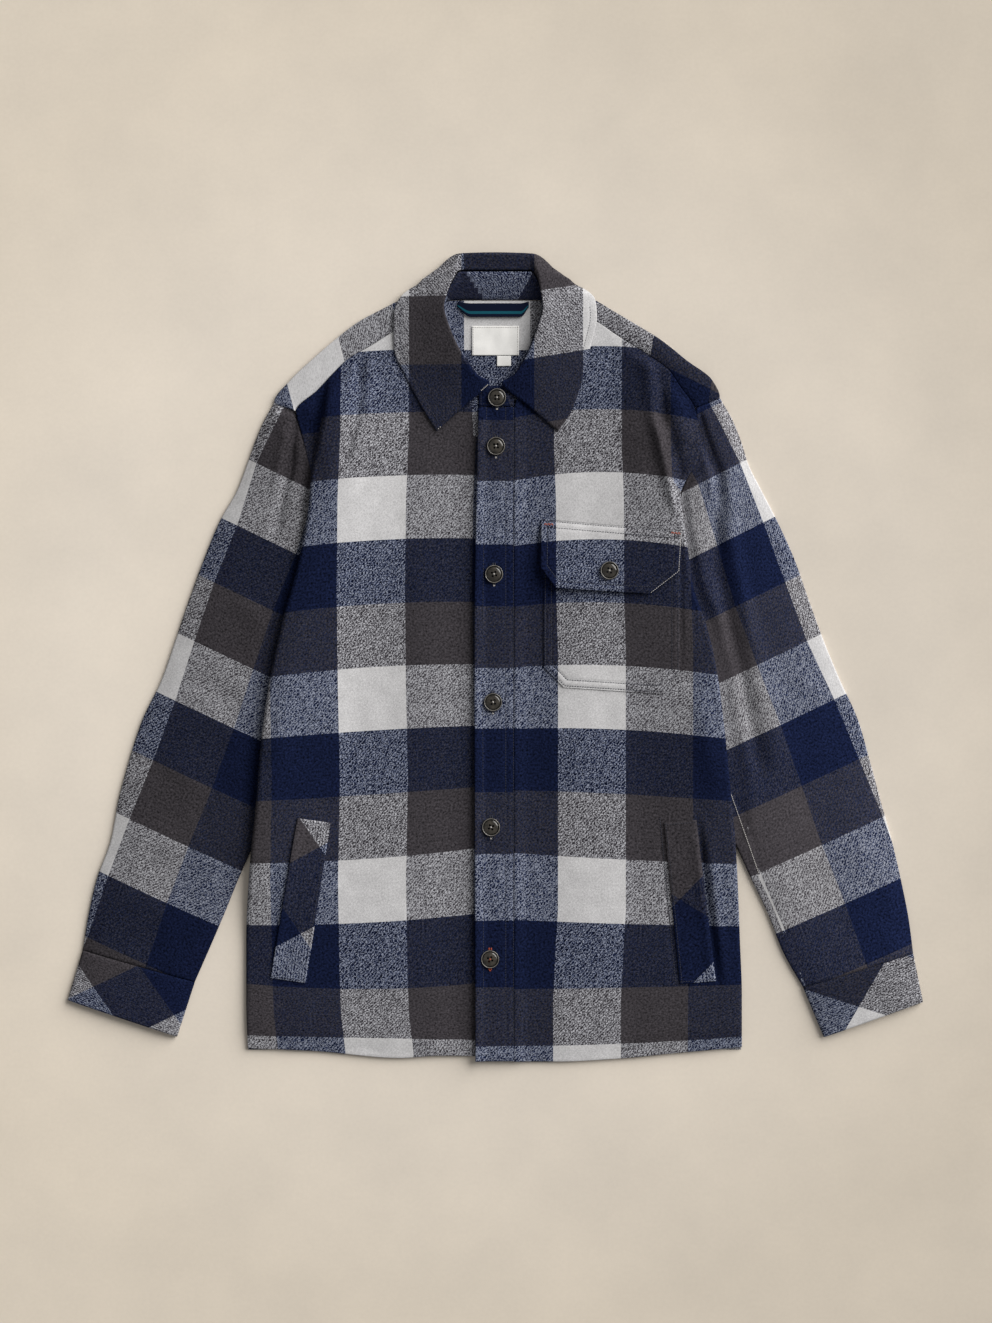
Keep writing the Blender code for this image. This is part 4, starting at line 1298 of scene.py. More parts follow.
@dataclass
class Placket:
    """Buttonhole band over the left front, and the stand's end above it."""

    sewing: Stitching
    edges: Pairs = ((256, -17.6), (18, -21.6), (-411.5, -20.6))
    right: float = 19.0
    width: float = 39.0
    free_lift: float = 3.8
    lift_reach: float = 14.0
    crown: float = 0.5
    ripples: Sequence[Ripple] = (Ripple(0.5, 34.0, 8),)
    rim: float = 0.9
    step: float = 1.8
    row_step: float = 2.6
    row_starts: Sequence[float] = (
        307.4, 242.8, 180.5, 116.3, 53.0, -10.2, -71.4, -136.7, -199.9, -267.2, -335.6, -395.8, -460.0)
    first_row: float = -2.0
    navy_from: float = -20.0
    navy_count: float = 2.2
    stitch_in: Sequence[float] = (0.8, 8.6)
    groove: float = 0.45
    groove_width: float = 1.1
    tab: Pairs = ((-17.0, 277.5), (18.6, 277.5), (18.6, 256.8), (-17.0, 256.8))
    tab_step: float = 1.6
    tab_ripples: Sequence[Ripple] = (Ripple(0.3, 11.0, 5),)
    tab_stitch_in: float = 2.2
    tab_map: TwoLineMap = TwoLineMap(
        StripeLine((0, 240), (-8, 260), 2.3, 68.7), StripeLine((20, 290), (-20, 282), 1.3, 64.6))

    def cloth(self, points: Array, centres: Array) -> Array:
        """Place on the cloth: within the navy warp, weft rows as on the fronts.

        Args:
            points: corners of the faces.
            centres: not used.

        Returns:
            Millimetres along the weft and the warp.
        """
        count = np.interp(-points[..., 1], np.negative(self.row_starts), np.arange(len(self.row_starts)))
        across = self.navy_count + (points[..., 0] - self.navy_from) / TWILL.warp_stripe
        return TWILL.lay(across, self.first_row + count)

    def sides(self) -> tuple[Array, Array]:
        """Lay out both long edges from the top down.

        Returns:
            Points of the left and of the right edge.
        """
        top, end = self.edges[0][0], self.edges[-1][0]
        y = top + (end - top) * spaced(top - end, self.row_step, self.rim)
        left = np.stack([eased_curve(y, *zip(*self.edges)), y], axis=1)
        return left, np.stack([np.full_like(y, self.right), y], axis=1)

    def build(self) -> Piece:
        """Make the band and the stand's end.

        Returns:
            The band.
        """
        left, right = self.sides()
        plan = between_edges(left, right, spaced(self.width, self.step, self.rim))
        x, y = plan[..., 0], plan[..., 1]
        from_left = x - left[:, :1]
        arched = np.sin(np.pi * np.clip(from_left / self.width, 0, 1)) * (1 + rippled(x, y, self.ripples))
        low = PLACKET_BED + self.free_lift * (1 - smoothstep(from_left / self.lift_reach)) + self.crown * arched
        lines = [inset(left[::12], self.stitch_in[1])] + [inset(right[::12], -reach) for reach in self.stitch_in]
        upper, lower = shell_points(plan, low, WALL, self.rim)
        press_lines(upper, [line[:: len(line) - 1] for line in lines], self.groove, self.groove_width)
        sheet = ClothSheet("placket_cloth", upper, lower, self.cloth)
        band = sheet.build(TWILL, Slot.CHECK, ["placket"], ["front_left"])
        bed = bed_of(band)
        for line in lines:
            self.sewing.sew(line, bed, Thread.NAVY)
        self.build_tab()
        return band

    def build_tab(self) -> None:
        """Make the buttoned end of the stand."""
        plan = corner_rows(self.tab, self.tab_step, self.rim)
        low = PLACKET_BED + rippled(plan[..., 0], plan[..., 1], self.tab_ripples)
        sheet = ClothSheet("stand_tab_cloth", *shell_points(plan, low, WALL, self.rim), self.tab_map)
        piece = sheet.build(TWILL, Slot.BIAS, ["stand_tab"], ["front_left"])
        outline = [self.tab[k] for k in (1, 0, 3, 2)]
        self.sewing.sew(inset(outline, self.tab_stitch_in), bed_of(piece), Thread.NAVY)


@dataclass
class Tube:
    """Flattened tube of cloth: an upper layer folded round both edges into a flat lower one."""

    name: str
    sections: Sequence[Section]
    wall: float
    step: float = 3.0
    turn: float = 2.3
    least_turn: float = 0.2
    turn_steps: int = 8

    def edges(self, count: int) -> tuple[Array, Array]:
        """Lay out both folded edges.

        Args:
            count: number of evenly spread sections.

        Returns:
            Points of the outer and of the inner edge.
        """
        knots = np.arange(len(self.sections))
        at = np.linspace(0, len(self.sections) - 1, count)
        points = np.stack([eased_curve(at, knots, column) for column in zip(*self.sections)], axis=1)
        return points[:, :2], points[:, 2:]

    def length(self) -> float:
        """Length along the middle."""
        outer, inner = self.edges(60)
        return float(np.linalg.norm(np.diff((outer + inner) / 2, axis=0), axis=1).sum())

    def rings(self, low: Callable[[Array, Array], Array]) -> tuple[Array, Array]:
        """Outer and inner face, each as rows of closed rings.

        Args:
            low: height of the upper layer's lower face from its plan and its share of the width.

        Returns:
            Grids of (x, y, z).
        """
        outer, inner = self.edges(max(int(self.length() / self.step), 8))
        across = inner - outer
        width = np.linalg.norm(across, axis=1)[:, None]
        way = across / width
        widest = float(width.max())
        shares = np.linspace(0, 1, int(widest / self.step))
        faces = []
        for shrink in (0.0, self.wall):
            radius = max(self.turn - shrink, self.least_turn)
            spots = self.turn + (width - 2 * self.turn) * shares[None, :]
            plan = outer[:, None, :] + way[:, None, :] * spots[..., None]
            top = low(plan, np.broadcast_to(shares[None, :], spots.shape)) + self.wall - shrink
            upper = np.concatenate([plan, top[..., None]], axis=2)
            under = np.concatenate([plan, np.full_like(top, shrink)[..., None]], axis=2)
            arcs = []
            for end, sign in ((-1, 1.0), (0, -1.0)):
                angle = np.linspace(0, np.pi, self.turn_steps + 1)[1:-1]
                lift = (top[:, end] - shrink)[:, None] / 2
                reach = plan[:, end, None, :] + way[:, None, :] * (sign * radius * np.sin(angle))[None, :, None]
                height = shrink + lift * (1 + sign * np.cos(angle)[None, :])
                arcs.append(np.concatenate([reach, height[..., None]], axis=2))
            faces.append(np.concatenate([upper, arcs[0], under[:, ::-1], arcs[1]], axis=1))
        return faces[0], faces[1]


@dataclass
class Sleeve:
    """Sleeve beside the body, its inner side tucked under the front, with its cuff."""

    sewing: Stitching
    hand: Hand
    tube: Tube
    cuff: Tube
    creases: Sequence[Crease]
    check_knots: Pairs
    check_tilt: Sequence[float]
    check_stripe: Pairs
    knot_count: float
    inner_seam: Pairs
    seam_thread: Pairs
    cuff_map: TwoLineMap
    body_edge: Sequence[Edge]
    # Painted shade below 1 and painted light above 1, scaling the pale and the dark yarns' colours.
    pale_painted_shade: float = 1.0
    dark_painted_shade: float = 1.0
    crown: float = 4.4
    ripples: Sequence[Ripple] = (Ripple(0.5, 42.0, 11), Ripple(0.25, 17.0, 12))
    beside_body: Fade = Fade(1.5, 10.0)
    wider_low: Fade = Fade(110.0, 130.0)
    wider_by: float = 14.0
    tuck_top: Fade = Fade(225.0, 50.0)
    tuck_end: Fade = Fade(-240.0, 60.0)
    fold_fade: float = 0.12
    head: Fade = Fade(0.0, 0.035)
    seam_groove: float = 0.8
    seam_width: float = 1.6
    past_seam: float = 1.75
    smooth_above_cuff: float = 14.0
    cuff_crown: Sequence[float] = (0.75, 0.70, 0.62, 0.5)
    cuff_ripples: Sequence[Ripple] = (Ripple(0.35, 21.0, 14),)
    cuff_groove: float = 0.9
    groove_above: float = 3.2
    groove_below: float = 2.6
    smooth_below_seam: float = 12.0

    def arch(self, share: Array) -> Array:
        """Rise between the two folded edges."""
        return self.crown * (1 - np.abs(2 * share - 1) ** 4)

    def underside(self, plan: Array, share: Array) -> Array:
        """Height of the upper layer: arched, flat where the body lies on it.

        Args:
            plan: grid of (x, y).
            share: share of the width from the outer edge.

        Returns:
            Heights above the floor.
        """
        x, y = plan[..., 0], plan[..., 1]
        tucked = self.tuck_top.falling(plan[:, -1:, 1]) * self.tuck_end.rising(plan[:, -1:, 1])
        gap = Fade(self.beside_body.start, self.beside_body.width + self.wider_by * self.wider_low.falling(y))
        outside = gap.rising((x - edge_at(self.body_edge, y)) * self.hand.value)
        rise = np.minimum(self.arch(share), self.crown * (1 - tucked * (1 - outside)))
        inner = smoothstep((1 - share) / self.fold_fade) * (1 - tucked * (1 - outside))
        between = inner * smoothstep(share / self.fold_fade)
        folds = relief(x, y, self.creases) + rippled(x, y, self.ripples)
        from_head = self.head.rising(np.linspace(0, 1, len(plan)))[:, None]
        seam = -self.seam_groove * bell(line_distance(x, y, self.inner_seam), self.seam_width)
        from_cuff = (self.tube.length() * np.linspace(1, 0, len(plan)))[:, None]
        height = rise * from_head + (folds * smoothstep(from_cuff / self.smooth_above_cuff) + seam) * between
        return UPPER + np.maximum(height - self.cuff_groove * smoothstep(1 - from_cuff / self.groove_above), 0.0)

    def cuff_underside(self, plan: Array, share: Array) -> Array:
        """Height of the cuff's upper layer, sunk at its seam.

        Args:
            plan: grid of (x, y).
            share: share of the width from the outer edge.

        Returns:
            Heights above the floor.
        """
        down = np.linspace(0, 1, len(plan))[:, None]
        rise = np.interp(down, np.linspace(0, 1, len(self.cuff_crown)), self.cuff_crown)
        from_seam = self.cuff.length() * down
        within = share * (1 - share)
        wave = rippled(plan[..., 0], plan[..., 1], self.cuff_ripples)
        wave = wave * smoothstep(within * 8) * smoothstep(from_seam / self.smooth_below_seam)
        groove = self.cuff_groove * smoothstep(1 - from_seam / self.groove_below) * smoothstep(within * 20)
        return self.cuff.wall + STACK + self.arch(share) * rise + wave - groove

    def cloth(self, points: Array, centres: Array) -> Array:
        """Place on the cloth of each corner, along rows that tilt down towards the body.

        Args:
            points: corners of the faces.
            centres: middle of each corner's face.

        Returns:
            Millimetres along the weft and the warp.
        """
        flat = points[..., :2].reshape(-1, 2)
        knots = np.asarray(self.check_knots)
        number = np.arange(len(knots))
        count = np.interp(-flat[:, 1], -knots[:, 1], number)
        for _ in range(3):
            tilt = np.interp(count, [0, len(knots) - 1], self.check_tilt)
            normal = np.stack([np.sin(tilt) * self.hand.value, -np.cos(tilt)], axis=1)
            level = (flat * normal).sum(axis=1)
            rungs = normal @ knots.T
            index = np.clip((rungs < level[:, None]).sum(axis=1) - 1, 0, len(knots) - 2)
            pick = np.arange(len(flat))
            low, high = rungs[pick, index], rungs[pick, index + 1]
            count = index + (level - low) / (high - low)
        held = np.clip(count, 0, len(knots) - 1)
        middle = np.stack([np.interp(held, number, knots[:, axis]) for axis in (0, 1)], axis=1)
        run = np.stack([-np.cos(tilt) * self.hand.value, -np.sin(tilt)], axis=1)
        inward = ((flat - middle) * run).sum(axis=1)
        across = self.knot_count - self.hand.value * inward / np.interp(held, *zip(*self.check_stripe))
        if self.inner_seam:
            spots = centres[..., :2].reshape(-1, 2)
            seam_x = table_at(spots[:, 1], [(row[1], row[0]) for row in self.inner_seam])
            low, high = self.inner_seam[-1][1], self.inner_seam[0][1]
            past = (spots[:, 0] < seam_x) & (spots[:, 1] > low) & (spots[:, 1] < high)
            across = np.where(past, self.past_seam + (flat[:, 0] - seam_x) / TWILL.warp_stripe, across)
        return TWILL.lay(across, count).reshape(*points.shape[:-1], 2)

    def build(self) -> None:
        """Make the sleeve and its cuff."""
        side = self.hand.name.lower()
        sheet = ClothSheet(self.tube.name, *self.tube.rings(self.underside), self.cloth, ring=True)
        # Cloth of this sleeve with its painted shade or light.
        finish = TWILL.painted_light_copy(f"check_twill_{side}", self.pale_painted_shade, self.dark_painted_shade)
        piece = sheet.build(finish, Slot.CHECK, [f"sleeve_{side}_top", f"sleeve_{side}_under"])
        if self.seam_thread:
            self.sewing.sew(self.seam_thread, bed_of(piece), Thread.PALE, 1.9, 0.42)
        band = ClothSheet(self.cuff.name, *self.cuff.rings(self.cuff_underside), self.cuff_map, ring=True)
        band.build(TWILL, Slot.BIAS, [f"cuff_{side}_top", f"cuff_{side}_under"])


def left_sleeve(sewing: Stitching, body_edge: Sequence[Edge]) -> Sleeve:
    """Sleeve on the viewer's left, tucked under a front's edge.

    Args:
        sewing: rows of stitches to add to.
        body_edge: edge of the front.

    Returns:
        The sleeve with its cuff.
    """
    sections = [Section(*row) for row in (
        (-225.8, 261.0, -204.9, 251.6), (-236, 243, -197, 232.5), (-245, 222, -188, 207),
        (-253, 200, -182, 179.5), (-264, 171, -178, 149), (-281, 141, -180, 100), (-298, 100, -190, 55),
        (-313, 59, -201, 8), (-327, 18, -210, -35), (-341, -22, -219, -79), (-360.5, -63, -225, -124),
        (-374, -104, -235, -167), (-385, -145, -249.3, -196), (-393, -186, -262, -224.5),
        (-407.5, -226.5, -276, -259), (-416.5, -267, -294, -301), (-421.6, -298.5, -307.2, -331.0),
    )]
    ends = [Section(-421.5, -298.45, -307, -330.95), Section(-437, -349, -325, -386.5)]
    return Sleeve(
        sewing=sewing,
        hand=Hand.LEFT,
        # Painted shade: the whole left sleeve darker.
        pale_painted_shade=0.87,
        dark_painted_shade=0.87,
        tube=Tube("sleeve_left_cloth", sections, WALL),
        cuff=Tube("cuff_left_cloth", ends, 2.6, 1.6, 2.7),
        creases=[Crease(*row) for row in (
            (-214, 236, -222, 170, 2.4, 7.0), (-204, 240, -212, 184, -4.2, 4.5),
            (-209, 206, -224, 126, -4.0, 5.5), (-262, 60, -236, 30, 1.8, 12.0),
            (-300, -20, -262, -45, -1.0, 12.0), (-290, -60, -262, -88, 1.4, 12.0),
            (-330, -110, -290, -140, 1.2, 13.0), (-345, -196, -300, -180, 1.2, 12.0),
            (-352, -150, -318, -170, -0.9, 11.0), (-390, -240, -330, -262, 1.2, 13.0),
            (-400, -275, -340, -300, -0.8, 10.0),
        )],
        check_knots=[
            (-244.3, 198.9), (-263.7, 135.7), (-287.1, 77.5), (-307.5, 17.3), (-326.9, -42.8),
            (-349.4, -104.0), (-373.8, -164.2), (-395.3, -221.3), (-416.7, -284.6),
        ],
        check_tilt=(math.radians(26.0), math.radians(24.5)),
        check_stripe=[(0, 66.7), (8, 66.7)],
        knot_count=1.0,
        inner_seam=[],
        seam_thread=[],
        cuff_map=TwoLineMap(
            StripeLine((-425.9, -313.1), (-388.1, -367.2), 1.0, 51.0),
            StripeLine((-436, -347.8), (-367.7, -315.2), 2.0, 62.2)),
        body_edge=body_edge,
    )


def right_sleeve(sewing: Stitching, body_edge: Sequence[Edge]) -> Sleeve:
    """Sleeve on the viewer's right, tucked under a front's edge; its underarm seam shows.

    Args:
        sewing: rows of stitches to add to.
        body_edge: edge of the front.

    Returns:
        The sleeve with its cuff.
    """
    sections = [Section(*row) for row in (
        (229, 265.7, 204.2, 255.1), (242, 243, 205, 232), (250.5, 222, 204, 210),
        (258.5, 197, 192, 174.5), (270, 174, 180, 144), (287, 141, 174, 98), (305.5, 100, 182, 53),
        (320, 59, 197, 8), (335, 18, 208.5, -35), (351.5, -22, 212.5, -79), (370, -63, 221, -124),
        (382, -104, 232, -167), (393, -145, 246.5, -194), (404.5, -186, 260.5, -224.5),
        (414, -226.5, 277, -259), (422, -267, 294, -301), (426.6, -302.0, 314.2, -336.5),
    )]
    ends = [Section(426.5, -301.95, 314, -336.45), Section(436.5, -351, 335, -387)]
    return Sleeve(
        sewing=sewing,
        hand=Hand.RIGHT,
        # Painted light: the whole right sleeve lighter, its dark yarns most.
        pale_painted_shade=1.08,
        dark_painted_shade=1.42,
        tube=Tube("sleeve_right_cloth", sections, WALL),
        cuff=Tube("cuff_right_cloth", ends, 2.6, 1.6, 2.7),
        creases=[Crease(*row) for row in (
            (236, 190, 244, 100, 3.0, 8.0), (244, 100, 264, 8, 3.0, 8.0), (264, 8, 290, -104, 2.4, 12.0),
            (204, 250, 226, 188, -6.0, 5.0), (228, 192, 226, 90, -4.4, 7.0), (226, 96, 244, 8, -4.2, 7.0),
            (244, 14, 270, -114, -3.4, 8.0), (216, 196, 235, 120, 2.4, 6.0), (330, -30, 290, -60, 1.2, 13.0),
            (352, -120, 310, -150, -1.0, 12.0), (385, -190, 335, -215, 1.2, 13.0),
            (400, -250, 345, -275, -0.9, 11.0),
        )],
        check_knots=[
            (249.4, 198.9), (272.9, 138.7), (295.3, 77.5), (317.7, 17.3), (345.3, -41.8),
            (370.8, -103.0), (395.3, -162.2), (417.7, -222.4), (438.1, -285.6),
        ],
        check_tilt=(math.radians(27.0), math.radians(23.5)),
        check_stripe=[(0, 48.0), (2, 57.0), (3, 57.0), (6, 69.0), (8, 66.0)],
        knot_count=3.0,
        inner_seam=[
            (246, -90), (253.8, -159.6), (265.4, -193.6), (269.3, -218), (268, -222), (293, -279), (300, -282),
            (316, -338),
        ],
        seam_thread=[(237.5, -130), (240.2, -138.7), (268.4, -219.5)],
        cuff_map=TwoLineMap(
            StripeLine((394.2, -314.2), (356.5, -379.4), 0.0, 62.0),
            StripeLine((400.4, -365.2), (314.2, -337.6), 3.0, 64.3)),
        body_edge=body_edge,
    )


@dataclass
class Yoke:
    """Yoke: its flat back part and the strips that come over both shoulders."""

    sewing: Stitching
    left_fold: Sequence[Edge] = tuple(Edge(*row) for row in (
        (365, -99), (355, -118), (345, -137), (324, -165), (304, -188), (284, -209), (261, -226), (252, -205)))
    right_fold: Sequence[Edge] = tuple(Edge(*row) for row in (
        (365, 103), (355, 119), (345, 136), (324, 170), (304, 195), (284, 221), (266, 229), (255.5, 204)))
    puff: float = 1.5
    outside_collar: Fade = Fade(112.0, 40.0)
    seam: float = 0.25
    rim: float = 1.2
    step: float = 2.0
    strip_width: float = 46.0
    back_rows: int = 40
    back_columns: int = 90
    stitch_in: float = 6.0
    left_map: TwoLineMap = TwoLineMap(
        StripeLine((-160.7, 326.4), (-153.0, 297.0), 1.0, 62.0),
        StripeLine((-158.6, 352.0), (-226.0, 292.0), 0.0, 70.0))
    right_map: TwoLineMap = TwoLineMap(
        StripeLine((158.1, 308.0), (162.5, 336.0), 0.0, 66.0),
        StripeLine((172.9, 297.2), (224.9, 271.3), 2.0, 64.6))

    def build(self, fronts: Sequence[FrontPanel]) -> None:
        """Make the three parts.

        Args:
            fronts: left and right front, which the strips are sewn to.
        """
        y = np.linspace(self.left_fold[0].y, self.left_fold[-1].y, self.back_rows)
        edges = [np.stack([edge_at(fold, y), y], axis=1) for fold in (self.left_fold, self.right_fold)]
        plan = between_edges(*edges, np.linspace(0, 1, self.back_columns))
        flat = shell_points(plan, np.zeros(plan.shape[:2]), WALL, self.rim)
        ClothSheet("yoke_back_cloth", *flat, INSIDE_BACK).build(TWILL, Slot.CHECK, ["yoke_back"])
        folds, maps = (self.left_fold, self.right_fold), (self.left_map, self.right_map)
        for fold, cloth, front in zip(folds, maps, fronts):
            self.build_strip(fold, cloth, front)

    def build_strip(self, fold: Sequence[Edge], cloth: TwoLineMap, front: FrontPanel) -> None:
        """Make the strip over one shoulder.

        Args:
            fold: its outer edge.
            cloth: its cloth map, turned along the shoulder.
            front: the front that it is sewn to.
        """
        way = front.hand.value
        top, end = front.neck[0].y - 0.5, fold[-1].y + 0.1
        y = top + (end - top) * spaced(top - end, self.step, self.rim)
        outer = edge_at(fold, y)
        neck = table_at(y, [(row.y, row.x) for row in front.neck])
        seam = edge_at(front.edge, y) + way * self.seam
        inner = np.where(y > front.edge[0].y, neck, seam)
        inner = np.where(way * inner < way * neck, neck, inner)
        sides = [np.stack([outer, y], axis=1), np.stack([inner, y], axis=1)]
        shares = spaced(self.strip_width, self.step, self.rim)
        plan = between_edges(*(sides if front.hand is Hand.LEFT else sides[::-1]), shares)
        x = plan[..., 0]
        share = np.clip((x - outer[:, None]) / (inner - outer)[:, None], 0, 1)
        low = UPPER + self.puff * 4 * share * (1 - share) * self.outside_collar.rising(np.abs(x))
        side = front.hand.name.lower()
        sheet = ClothSheet(f"yoke_{side}_cloth", *shell_points(plan, low, WALL, self.rim), cloth)
        piece = sheet.build(TWILL, Slot.CHECK, [f"yoke_{side}"], ["yoke_back"])
        line = np.stack([seam, y], axis=1)[(y < front.edge[0].y - 4)][::5]
        self.sewing.sew(inset(line, -way * self.stitch_in), bed_of(piece), Thread.NAVY)


@dataclass
class BackPanel:
    """Back below the yoke, flat on the floor between the tucked sleeves."""

    side_free: float = -208.0
    hem: float = -400.0
    rim: float = 1.2
    beside_sleeve: float = 0.9
    beside_front: float = 0.5
    tucked_rows: int = 25
    free_rows: int = 20
    columns: int = 60

    def build(self, sleeves: Sequence[Sleeve], fronts: Sequence[FrontPanel]) -> None:
        """Make the panel.

        Args:
            sleeves: left and right sleeve.
            fronts: left and right front.
        """
        sides = []
        for sleeve, front in zip(sleeves, fronts):
            tucked = sleeve.tube.edges(33)[1][:self.tucked_rows] - (sleeve.hand.value * self.beside_sleeve, 0)
            y = np.linspace(self.side_free, self.hem, self.free_rows)
            free = np.stack([edge_at(front.edge, y) - front.hand.value * self.beside_front, y], axis=1)
            sides.append(np.concatenate([tucked, free]))
        plan = between_edges(*sides, np.linspace(0, 1, self.columns))
        flat = shell_points(plan, np.zeros(plan.shape[:2]), WALL, self.rim)
        ClothSheet("back_cloth", *flat, INSIDE_BACK).build(TWILL, Slot.CHECK, ["back"])


@dataclass
class Collar:
    """Collar: a stand round the neck and a leaf turned over its crest."""

    sewing: Stitching
    wall: float = 1.8
    rim: float = 1.3
    thin_rim: float = 0.06
    seam: float = 0.9
    bow: float = 0.8
    stations: int = 10
    stand_rows: int = 16
    leaf_length: float = 60.0
    leaf_step: float = 1.6
    leaf_knots: Sequence[float] = (0.0, 0.22, 0.55, 1.0)
    ripples: Sequence[Ripple] = (Ripple(0.5, 30.0, 21), Ripple(0.3, 14.0, 22))
    deepest: float = -0.2
    rippled_from: float = 0.4
    groove: float = 0.4
    groove_width: float = 1.2
    stitch_in: float = 6.5
    left_map: TwoLineMap = TwoLineMap(
        StripeLine((0, 369.2), (-1, 369.2), 1.0, 69.9), StripeLine((-88.2, 0), (-88.2, 1), 3.0, 53.6))
    right_map: TwoLineMap = TwoLineMap(
        StripeLine((38.3, 305.0), (138.3, 322.7), 0.0, 65.9745), StripeLine((39.3, 0), (39.3, -1), 2.0, 50.0))
    behind_map: TwoLineMap = TwoLineMap(
        StripeLine((3, 0), (3, -1), 2.5, 72.0), StripeLine((0, 400), (1, 400), 2.5, 64.6))
    behind_neck: tuple[Point, float] = ((-32.0, 38.0), 384.0)
    stand_warp: tuple[Pairs, Pairs] = (((358.0, -6.144), (395.0, -31.304)), ((358.0, 18.5921), (395.0, 38.4611)))
    stand_weft: tuple[float, float] = (380.0, 1.5)
    pale_gauge: Gauge = Gauge(1.6, 0.45)
    pale_edges: Sequence[Pairs] = (((-7.6, 278.4), (-15.0, 272.0)), ((-55.6, 236.2), (-59.0, 233.0)))
    rows: Sequence[CollarRow] = tuple(CollarRow(*row) for row in (
        ((24, 276, 3.4), (15, 286, 9.5), (6, 279.5, 10), (33, 256, 7.4), (60, 231, 6), 1.03, 1.06),
        ((27.5, 281, 3.4), (19, 290, 10.5), (18, 286, 12), (46, 269, 8.4), (74, 254, 6), 1.02, 1.06),
        ((38, 302, 3.4), (31, 307, 12.5), (33, 305, 15), (62, 294, 9.6), (91, 286, 6), 0.97, 0.98),
        ((51, 330, 3.4), (44, 332, 14.5), (46, 331, 17), (75, 323, 10.4), (103.5, 317, 6), 0.92, 0.935),
        ((58.3, 355, 3.4), (51.5, 357, 14.5), (53.5, 357, 17), (80, 352, 10.4), (104, 347, 6.4), 0.92, 0.995),
        ((53, 364.6, 2.8), (48.5, 371, 13.5), (50.5, 372, 16), (76, 369, 10), (98.5, 366, 6), 0.94, 1.03),
        ((46, 365.4, 1.8), (42, 386, 11), (44.4, 390.7, 14), (75.5, 383.4, 6.5), (81, 379, 1.3), 1.0, 1.03),
        ((43, 365.5, 1.7), (40, 389.6, 10), (42.6, 395.8, 13), (69.5, 388.6, 5.5), (68, 380.2, 1.1), 1.0, 1.02),
        ((40, 365.6, 1.6), (38, 392.6, 9), (40.6, 400, 12), (59, 396.5, 3.8), (51, 381.5, 1.0), 1.0, 1.02),
        ((33, 365.7, 1.5), (34, 393.9, 8), (36.2, 409.5, 10.5), (37.2, 411.8, 5), (31, 381, 1.0), 1.02, 1.02),
        ((0, 365.7, 1.5), (0, 393.9, 7.6), (0, 410.5, 10), (0, 413, 5), (0, 381, 1.0), 1.0, 1.0),
    ))

    def sections(self) -> Array:
        """Lay out foot, top, crest, fold and edge from the left front end to the right.

        Returns:
            The five points at each of many stations.
        """
        left, right = [], []
        for row in self.rows:
            points = np.array(row[:5], float)
            left.append(points * (-1, 1, 1))
            points[:3, 0] *= row.neck_ratio
            points[3, 0] *= (row.neck_ratio + row.edge_ratio) / 2
            points[4, 0] *= row.edge_ratio
            right.append(points)
        whole = np.array(left + right[-2::-1])
        at = np.linspace(0, len(whole) - 1, (len(whole) - 1) * self.stations + 1)
        knots = np.arange(len(whole))
        dense = [eased_curve(at, knots, column) for column in whole.reshape(len(whole), -1).T]
        return np.stack(dense, axis=1).reshape(len(at), 5, 3)

    def shell(self, middle: Array) -> tuple[Array, Array]:
        """Thicken a bent sheet, less at its rounded rim.

        Args:
            middle: grid of points half way through it.

        Returns:
            Both faces.
        """
        normal = np.cross(np.gradient(middle, axis=0), np.gradient(middle, axis=1))
        normal /= np.linalg.norm(normal, axis=2, keepdims=True)
        near = np.clip(1 - rim_distance(middle) / self.rim, 0, 1)
        half = self.wall / 2 * np.sqrt(np.clip(1 + self.thin_rim - near**2, self.thin_rim, 1))[..., None]
        return middle + normal * half, middle - normal * half

    def leaf_cloth(self, points: Array, centres: Array) -> Array:
        """Place on the cloth: each side of the leaf and the strip behind the neck.

        Args:
            points: corners of the faces.
            centres: middle of each corner's face.

        Returns:
            Millimetres along the weft and the warp.
        """
        x, y = centres[..., :1], centres[..., 1:2]
        (start, end), above = self.behind_neck
        sides = np.where(x < 0, self.left_map(points, centres), self.right_map(points, centres))
        return np.where((x > start) & (x < end) & (y > above), self.behind_map(points, centres), sides)

    def stand_cloth(self, points: Array, centres: Array) -> Array:
        """Place on the cloth inside the stand, whose two slanting lines meet below.

        Args:
            points: corners of the faces.
            centres: not used.

        Returns:
            Millimetres along the weft and the warp.
        """
        left, right = (table_at(points[..., 1], line) for line in self.stand_warp)
        across = (points[..., 0] - left) / (right - left)
        start, count = self.stand_weft
        y = np.clip(points[..., 1], self.stand_warp[0][0][0], self.stand_warp[0][1][0])
        return TWILL.lay(np.where(across < 0, 2.0 + across, across), count + (y - start) / TWILL.weft_stripe)

